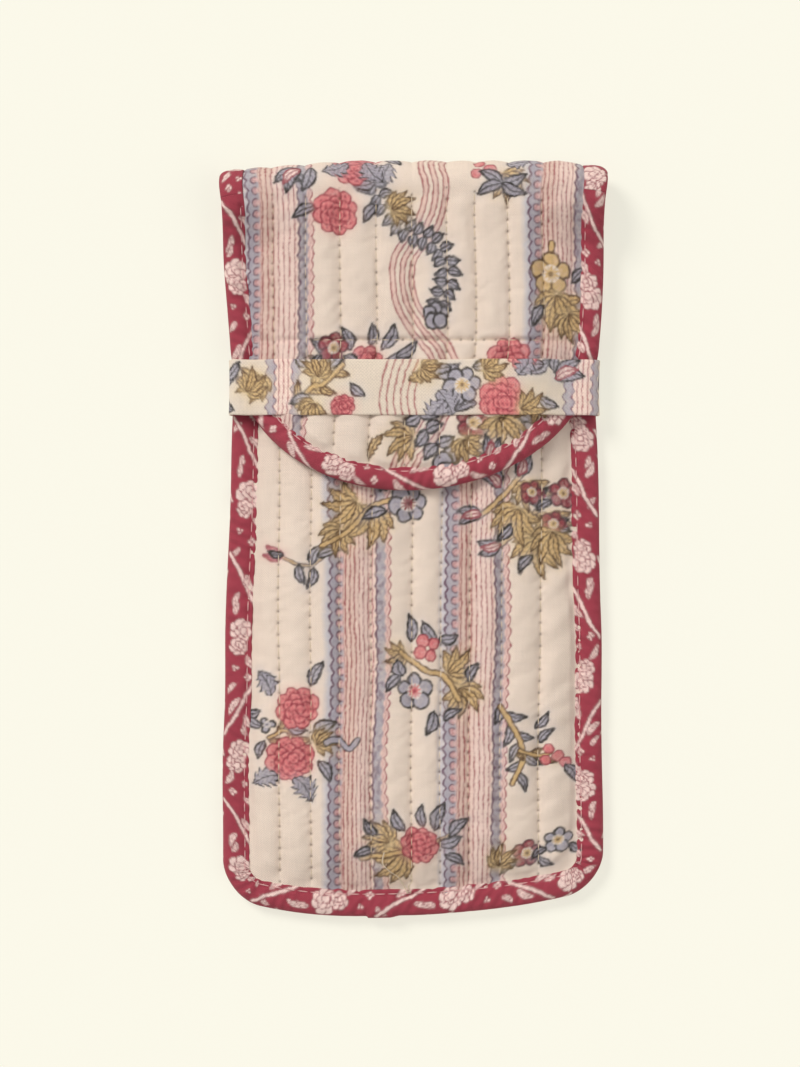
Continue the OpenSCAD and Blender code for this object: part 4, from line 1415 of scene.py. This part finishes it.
# The bindings' section at the fold, as pairs of inset and height
FOLD_SECTION = [(7.0, 0.75), (7.0, 0.3), (5.6, 0.05), (3.2, 0.0), (1.1, 0.25), (0.15, 0.9), (0.0, 1.5),
                (0.2, 2.1), (1.1, 2.65), (3.2, 2.85), (5.6, 2.82), (7.0, 2.6)]
FOLD_INNER = [(6.3, 2.2), (2.5, 2.2), (1.0, 1.5), (2.5, 0.65), (6.3, 0.6)]


def ring_section(controls, inner, count, inner_count=0):
    """A folded strip's section: its outer face through controls, then back along its inner face.

    Returns its points, their places across the flat strip and the strip's flat width.
    """
    outer, s = section_curve(controls, count)
    back = section_curve(inner, inner_count)[0] if inner_count else np.array(inner, float)
    wide = s[-1] + 0.5
    return np.concatenate([outer, back]), np.concatenate([s, wide + np.arange(len(back))]), wide


def pouch_path(inset, n_side, n_arc, n_bottom):
    """Points down the left side, round the bottom and up the right side, at an inset from the outline."""
    y = np.linspace(FOLD_Y, BOTTOM + CORNER_R, n_side)
    left = np.stack([inset - half_w(y), y], 1)
    a = np.linspace(PI, 1.5 * PI, n_arc + 2)[1:-1]
    cx = float(half_w(BOTTOM + CORNER_R)) - CORNER_R
    r = CORNER_R - inset
    arc = np.stack([-cx + r * np.cos(a), BOTTOM + CORNER_R + r * np.sin(a)], 1)
    x = np.linspace(-cx, cx, n_bottom)
    low = np.stack([x, BOTTOM + inset + 0 * x], 1)
    mirror = np.array([-1, 1])
    return np.concatenate([left, arc, low, (arc * mirror)[::-1], (left * mirror)[::-1]])


def pucker(s, t, seed):
    """Small slanting wrinkles of a strip cut on the bias and caught by its stitching."""
    count, cols = len(s), len(t)
    wobble = noise_grid(count, cols, 7, seed)
    lean = s[:, None] + 0.55 * t[None, :] + 1.4 * noise_grid(count, cols, 22, seed + 1)
    fine = 0.10 * noise_grid(count, cols, 3, seed + 3)
    waves = 0.22 * np.sin(2 * PI * lean / 3.1) * (0.5 + 0.5 * noise_grid(count, cols, 16, seed + 2))
    return waves + 0.20 * wobble + fine


def stitch_groove(inset, s, line, reach):
    """The valley that the topstitching presses into a binding, deeper at each stitch."""
    return hump(inset[None, :] - line, reach) * (0.6 + 0.4 * np.cos(2 * PI * s[:, None] / 3.2))


def strip_tube(name, points, s, t, print_, flip):
    """A strip's closed skin. s are places along the cut strip and t across it."""
    cloth = cloth_of(*np.broadcast_arrays(s[:, None], t[None, :]))
    return tube_mesh(name, points, print_.sample(cloth[..., 0], cloth[..., 1]), cloth, flip=flip)


def binding_piece(name, points, s, t, seed, body, node, print_length=None, flip=True):
    """A folded strip of raspberry cotton, wide when flat."""
    print_ = binding_print(print_length or s[-1] + 2, t.max() + 2, seed)
    obj = strip_tube(name, points, s, t, print_, flip)
    finish_piece(obj, "raspberry_cotton", body, node)


def topstitching(name, line, shown, top, body, node):
    """Pink stitches along the shown part of line. top is the binding's height at each point of line."""
    def height(at_x, at_y):
        near = [int(np.argmin((line[:, 0] - a) ** 2 + (line[:, 1] - b) ** 2)) for a, b in zip(at_x, at_y)]
        return top[near]
    stitches(name, [line[shown]], height, "pink_thread", body, node, pitch=3.4, long=2.6, lift=0.12)


def edge_binding():
    """Puffed strip folded over the sides and bottom, with its lapped join at the bottom."""
    controls = [(7.15, 3.55), (6.95, 4.15), (5.9, 4.30), (4.6, 4.62), (3.0, 4.70), (1.4, 4.45), (0.35, 3.75),
                (0.0, 2.55), (0.15, 1.3), (0.9, 0.35), (2.4, 0.06), (4.6, 0.03), (6.2, 0.08), (7.0, 0.35),
                (7.1, 0.75)]
    inner = [(6.6, 0.7), (3.5, 0.75), (1.3, 1.0), (0.75, 2.5), (1.3, 3.6), (3.5, 3.85), (6.6, 3.75)]
    section, t, wide = ring_section(controls, inner, 46)
    counts = (500, 44, 230)
    outline = pouch_path(0.0, *counts)
    s = along_of(outline)
    inset, z = section[:, 0], section[:, 1]
    pts = np.stack([pouch_path(d, *counts) for d in inset], 1)
    y = pts[..., 1]
    puff = pucker(s, t, 61)
    upper = ease((z - 2.2) / 1.5)[None, :]
    thin = ease((y - MOUTH) / 3.0)
    height = z[None, :] * (1 - thin) + np.minimum(z[None, :], z[None, :] * 0.62) * thin
    height = height + puff * upper + 0.25 * puff * (1 - upper) * (z[None, :] > 0.3)
    height -= 0.38 * stitch_groove(inset, s, EDGE_STITCH_IN, 0.55) * upper
    lap = s[-1] / 2 - 12.2
    over = ease((s - lap) / 0.5) * ease((lap + 9 - s) / 3)
    height += 0.5 * over[:, None] * upper
    dent = band_dent(y, 1.5)
    height = height * (1 - dent) + (OVER_BAND + height * 0.74) * dent
    at_fold = ease((y - FOLD_Y + 3) / 3)
    at_root = ring_section(FOLD_SECTION[::-1], FOLD_INNER[::-1], 46, 7)[0]
    height = height * (1 - at_fold) + at_root[None, :, 1] * at_fold
    root_pts = np.stack([pouch_path(d, *counts) for d in at_root[:, 0]], 1)
    pts = pts * (1 - at_fold[..., None]) + root_pts * at_fold[..., None]
    sway = 0.16 * noise_line(len(s), 60, 65) + 0.06 * noise_line(len(s), 14, 66)
    toward = (pouch_path(1.0, *counts) - outline)[:, None, :]
    outward = 0.5 * over[:, None] * ease((6 - inset) / 5)[None, :]
    pts = pts + toward * (sway[:, None] * ease(inset / 5)[None, :] * (1 - at_fold) - outward)[..., None]
    points = np.concatenate([pts, np.maximum(height, 0.0)[..., None]], -1)
    binding_piece("edge_binding_strip", points, s, t, 81, "pouch", "edge_binding")
    line = pouch_path(EDGE_STITCH_IN, *counts)
    top = points[:, np.argmin(np.abs(inset[:30] - EDGE_STITCH_IN)), 2]
    topstitching("edge_topstitching", line, line[:, 1] < MOUTH - 1, top, "pouch", "edge_stitching")


def mouth_binding():
    """Strip folded over the pocket's mouth."""
    controls = [(5.8, 3.75), (5.6, 4.05), (4.4, 4.35), (2.6, 4.42), (0.9, 4.2), (0.1, 3.4), (0.1, 2.6),
                (0.8, 1.9), (2.6, 1.75), (4.6, 1.78), (5.7, 2.05)]
    inner = [(5.3, 2.3), (2.0, 2.35), (0.9, 2.9), (2.0, 3.6), (5.3, 3.75)]
    section, t, wide = ring_section(controls, inner, 30)
    xs = spread(-43.5, 43.5, 0.4)
    x, d = np.broadcast_arrays(xs[:, None], section[None, :, 0])
    y = MOUTH - d + 0.15 * noise_line(len(xs), 20, 91)[:, None] * ease(d / 4)
    s = xs + 50
    z = section[None, :, 1] + front_base(x, np.full(x.shape, MOUTH - 1.0)) + 0.7 * pucker(s, t, 92)
    binding_piece("mouth_binding_strip", np.stack([x, y, z], -1), s, t, 93, "pouch", "mouth_binding",
                  print_length=102, flip=False)


def flap_path(inset, n_side, n_arc):
    """Points down the flap's left side, round its end and up the right side, at an inset from its outline."""
    y = np.linspace(FOLD_Y, CURVE_Y, n_side)
    left = np.stack([inset - half_w(y), y], 1)
    a = np.linspace(0, PI, n_arc + 2)[1:-1]
    normal = np.stack([FLAP_END * np.cos(a), FLAP_HALF * np.sin(a)], 1)
    normal /= np.linalg.norm(normal, axis=1, keepdims=True)
    arc = np.stack([-FLAP_HALF * np.cos(a), CURVE_Y - FLAP_END * np.sin(a)], 1) + inset * normal
    return np.concatenate([left, arc, (left * np.array([-1, 1]))[::-1]])


def flap_binding():
    """Plump strip folded over the flap's sides and curved end."""
    controls = [(5.9, 1.35), (5.75, 1.85), (4.9, 2.2), (3.6, 2.85), (2.4, 2.95), (1.1, 2.5), (0.25, 1.7),
                (0.0, 0.7), (0.3, -0.1), (1.2, -0.5), (3.0, -0.58), (4.8, -0.56), (5.7, -0.3), (5.8, 0.0)]
    inner = [(5.3, -0.05), (2.2, -0.05), (1.0, 0.6), (2.2, 1.45), (5.3, 1.4)]
    section, t, wide = ring_section(controls, inner, 40)
    counts = (112, 330)
    outline = flap_path(0.0, *counts)
    s = along_of(outline)
    pts = np.stack([flap_path(d, *counts) for d in section[:, 0]], 1)
    sway = (0.22 * noise_line(len(s), 50, 101) + 0.08 * noise_line(len(s), 12, 102))[:, None]
    at_fold = ease((pts[..., 1] - FOLD_Y + 3.0) / 3.0)
    toward = (flap_path(1.0, *counts) - outline)[:, None, :]
    pts = pts + toward * (sway * (1 - at_fold) * ease(section[:, 0] / 4)[None, :])[..., None]
    upper = ease((section[:, 1] - 0.8) / 1.0)[None, :]
    z = section[None, :, 1] + pucker(s, t, 103) * (0.3 + 0.9 * upper) * (section[:, 1] > -0.3)[None, :]
    groove = 0.32 * stitch_groove(section[:, 0], s, FLAP_STITCH_IN, 0.5) * upper
    z = z - groove - 0.5 * band_dent(pts[..., 1]) * upper
    at_root = ring_section(FOLD_SECTION, FOLD_INNER, 40, 5)[0]
    narrow = at_root[:, 0] * FLAP_BIND_W / BIND_W
    root_pts = np.stack([flap_path(d, *counts) for d in narrow], 1)
    root_z = 2 * FOLD_R - at_root[None, :, 1]
    z = (z + flap_low(pts[..., 0], pts[..., 1])) * (1 - at_fold) + root_z * at_fold
    pts = pts * (1 - at_fold[..., None]) + root_pts * at_fold[..., None]
    points = np.concatenate([pts, z[..., None]], -1)
    binding_piece("flap_binding_strip", points, s, t, 104, "flap", "flap_binding")
    line = flap_path(FLAP_STITCH_IN, *counts)
    top = points[:, np.argmin(np.abs(section[:26, 0] - FLAP_STITCH_IN)), 2]
    topstitching("flap_topstitching", line, slice(6, -6), top, "flap", "flap_stitching")


def fold_binding():
    """The binding's two stretches round the fold."""
    section, t, wide = ring_section(FOLD_SECTION, FOLD_INNER, 36)
    turn = np.linspace(-PI / 2, PI / 2, 64)
    a = turn[:, None]
    narrow = np.linspace(BIND_W, FLAP_BIND_W, len(turn))[:, None] / BIND_W
    print_ = binding_print(60, t.max() + 2, 112)
    for name, side, way in (("left", -1, 1), ("right", 1, -1)):
        x = side * (float(half_w(FOLD_Y)) - section[None, :, 0] * narrow)
        r = FOLD_R - section[None, :, 1] + 0.6 * pucker(turn * FOLD_R, t, 111 + side) * np.cos(a)
        s = turn * FOLD_R + 15 + 25 * (side > 0)
        obj = strip_tube(f"fold_binding_{name}", round_fold(x, r, a)[:, ::way], s, t[::way], print_, False)
        bend_round_fold(obj, "raspberry_cotton", "fold_binding")


# ---------------------------------------------------------------- closing band
def band_loop(edge_z, crown_z):
    """The band's closed path as even steps of x and z, with the steps' places along it and its length."""
    out_x = BAND_HI[0]
    xs = np.linspace(-out_x + 3.2, out_x - 3.2, 90)
    over = np.stack([xs, edge_z + (crown_z - edge_z) * bulge(xs, np.full(90, BAND_Y))], 1)
    side = [(out_x - 1.4, edge_z - 0.5), (out_x - 0.2, edge_z - 2.0), (out_x - 0.05, 5.0), (out_x - 0.1, 2.0),
            (out_x - 0.7, 0.5), (out_x - 2.4, 0.0)]
    under = np.stack([np.linspace(out_x - 4, 0.6, 30), np.zeros(30)], 1)
    right = np.concatenate([np.array(side), under])
    left = (right * np.array([-1, 1]))[::-1]
    loop = np.concatenate([left, over, right])
    reach = along_of(np.concatenate([loop, loop[:1]]))
    s = np.linspace(0, reach[-1], int(reach[-1] / FINE) + 1)[:-1]
    ring = np.stack([np.interp(s, reach, np.append(loop[:, k], loop[0, k])) for k in (0, 1)], 1)
    for _ in range(6):
        ring = (np.roll(ring, 1, 0) + 2 * ring + np.roll(ring, -1, 0)) / 4
    return ring, s, reach[-1]


def band_section(half, thick):
    """The strap's section as pairs of place across and height: outer face, edges and inner face."""
    outer = [(v, 0.0) for v in spread(-half + 0.3, half - 0.3, FINE)]
    rounded = [(half - 0.05, -0.18), (half, -0.36), (half - 0.05, -0.55)]
    inner = [(v, -thick) for v in np.linspace(half - 0.4, -half + 0.4, 14)]
    return np.array(outer + rounded + inner + [(-v, h) for v, h in reversed(rounded)])


def closing_band():
    """Flat strap in a closed loop round the pouch and the flap."""
    half, thick = BAND_HALF, 0.7
    edge_z = 8.3 + thick
    ring, s, length = band_loop(edge_z, BAND_HI[2])
    tangent = np.roll(ring, -1, 0) - np.roll(ring, 1, 0)
    tangent /= np.linalg.norm(tangent, axis=1, keepdims=True)
    normal = np.stack([-tangent[:, 1], tangent[:, 0]], 1)
    section = band_section(half, thick)
    v = section[:, 0]
    top = (ring[:, 1] > edge_z - 1.5)[:, None]
    mid_s = s[np.argmin(np.abs(ring[:, 0]) + (ring[:, 1] < 5) * 99)]
    wander = 0.28 * noise_line(len(s), 90, 121) + 0.10 * noise_line(len(s), 20, 122)
    sag = 0.16 * noise_grid(len(s), len(v), 18, 123) + 0.05 * noise_grid(len(s), len(v), 5, 124)
    pillow = 0.16 * (1 - (v / half) ** 4)[None, :]
    depth = section[None, :, 1] + (sag + pillow - 0.2) * top
    x = ring[:, None, 0] + normal[:, None, 0] * depth
    z = np.maximum(0.0, ring[:, None, 1] + normal[:, None, 1] * depth)
    y = BAND_Y + v[None, :] + wander[:, None] * np.where(top, 1.0, 0.4)
    cloth = cloth_of(*np.broadcast_arrays((s - mid_s)[:, None], v[None, :]))
    p = band_print(length)
    obj = tube_mesh("closing_band_strap", np.stack([x, y, z], -1), p.sample(cloth[..., 0], cloth[..., 1]),
                    cloth, flip=True, joined=True)
    finish_piece(obj, "band_cotton", "pouch", "closing_band")
    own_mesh(obj)


# ---------------------------------------------------------------- loose thread ends
def thread_tails():
    """Two cut ends of the binding's thread, left at the bottom."""
    sides, steps = 6, 30
    tails = [[(-7.6, -80.6, 9.1), (-8.0, -83.4, 8.2), (-6.2, -85.6, 7.3), (-3.9, -87.3, 6.4),
              (-2.4, -89.6, 5.6), (-1.4, -91.6, 5.0)],
             [(-1.0, -86.8, 6.6), (-0.2, -88.2, 6.3), (-1.2, -89.8, 5.7), (-0.6, -91.4, 5.1)]]
    points, faces = [], []
    for tail in tails:
        path = row_weights(len(tail), np.linspace(0, len(tail) - 1, steps)) @ np.array(tail)
        faces.extend((grid_faces(steps, sides, closed=True) + len(points)).tolist())
        for q in path:
            for j in range(sides):
                a = 2 * PI * j / sides
                points.append(q + 0.19 * np.array([math.cos(a), 0.4 * math.sin(a), math.sin(a)]))
    finish_piece(new_mesh("binding_thread_ends", points, faces), "cream_thread", "pouch")


# ---------------------------------------------------------------- floor, light and camera
def floor_material():
    n = Nodes("paper_floor")
    where = n.add("ShaderNodeTexCoord").outputs["Object"]
    grain = n.noise(where, 900, 3.0)
    low, glow = 0.30 * linear((251, 248, 233)), 0.70 * linear((251, 249, 235))
    tone = n.mix("MIX", n.math("MULTIPLY", grain, 0.3), (*low, 1), (*(0.97 * low), 1))
    n.join(tone, n.shader.inputs["Base Color"])
    n.shader.inputs["Emission Color"].default_value = (*glow, 1)
    n.shader.inputs["Emission Strength"].default_value = 1.0
    n.shader.inputs["Roughness"].default_value = 0.95
    n.shader.inputs["Specular IOR Level"].default_value = 0.1
    return n.material


def studio():
    """A pale floor, an even pale sky and two soft suns."""
    reach = 1.6 / MM
    corners = [(-reach, -reach, 0), (reach, -reach, 0), (reach, reach, 0), (-reach, reach, 0)]
    floor = new_mesh("floor", corners, [[0, 1, 2, 3]], settled=False)
    floor.data.materials.append(floor_material())
    world = bpy.data.worlds.new("studio")
    world.use_nodes = True
    world.node_tree.nodes["Background"].inputs[0].default_value = (1.0, 0.99, 0.97, 1)
    world.node_tree.nodes["Background"].inputs[1].default_value = 0.42
    scene = bpy.context.scene
    scene.world = world
    suns = (("key", (-0.80, 0.85, 1.05), 2.16, 22), ("fill", (0.9, -0.2, 1.0), 0.55, 50))
    for name, place, power, spread_by in suns:
        light = bpy.data.lights.new(name, "SUN")
        light.energy = power
        light.angle = math.radians(spread_by)
        light.color = (1.0, 0.985, 0.96)
        obj = bpy.data.objects.new(name, light)
        obj.location = place
        obj.rotation_euler = look_at(place, (0, 0, 0))
        scene.collection.objects.link(obj)
    scene.view_settings.view_transform = "Standard"
    scene.view_settings.look = "None"


def look_at(place, target):
    way = Vector(target) - Vector(place)
    return way.to_track_quat("-Z", "Y").to_euler()


def camera():
    """Straight down, as the pouch lies, a little to the left of and above its middle."""
    frame_height, distance = 0.2753, 1.3
    data = bpy.data.cameras.new("camera")
    data.sensor_fit = "VERTICAL"
    data.sensor_height = 24
    data.lens = 24 * distance / frame_height
    data.clip_start, data.clip_end = 0.05, 20
    obj = bpy.data.objects.new("camera", data)
    obj.location = (-0.0035, 0.0020, distance)
    bpy.context.scene.collection.objects.link(obj)
    bpy.context.scene.camera = obj


camera()
studio()
front_panel()
back_panel()
flap_panel()
fold()
edge_binding()
mouth_binding()
flap_binding()
fold_binding()
closing_band()
thread_tails()
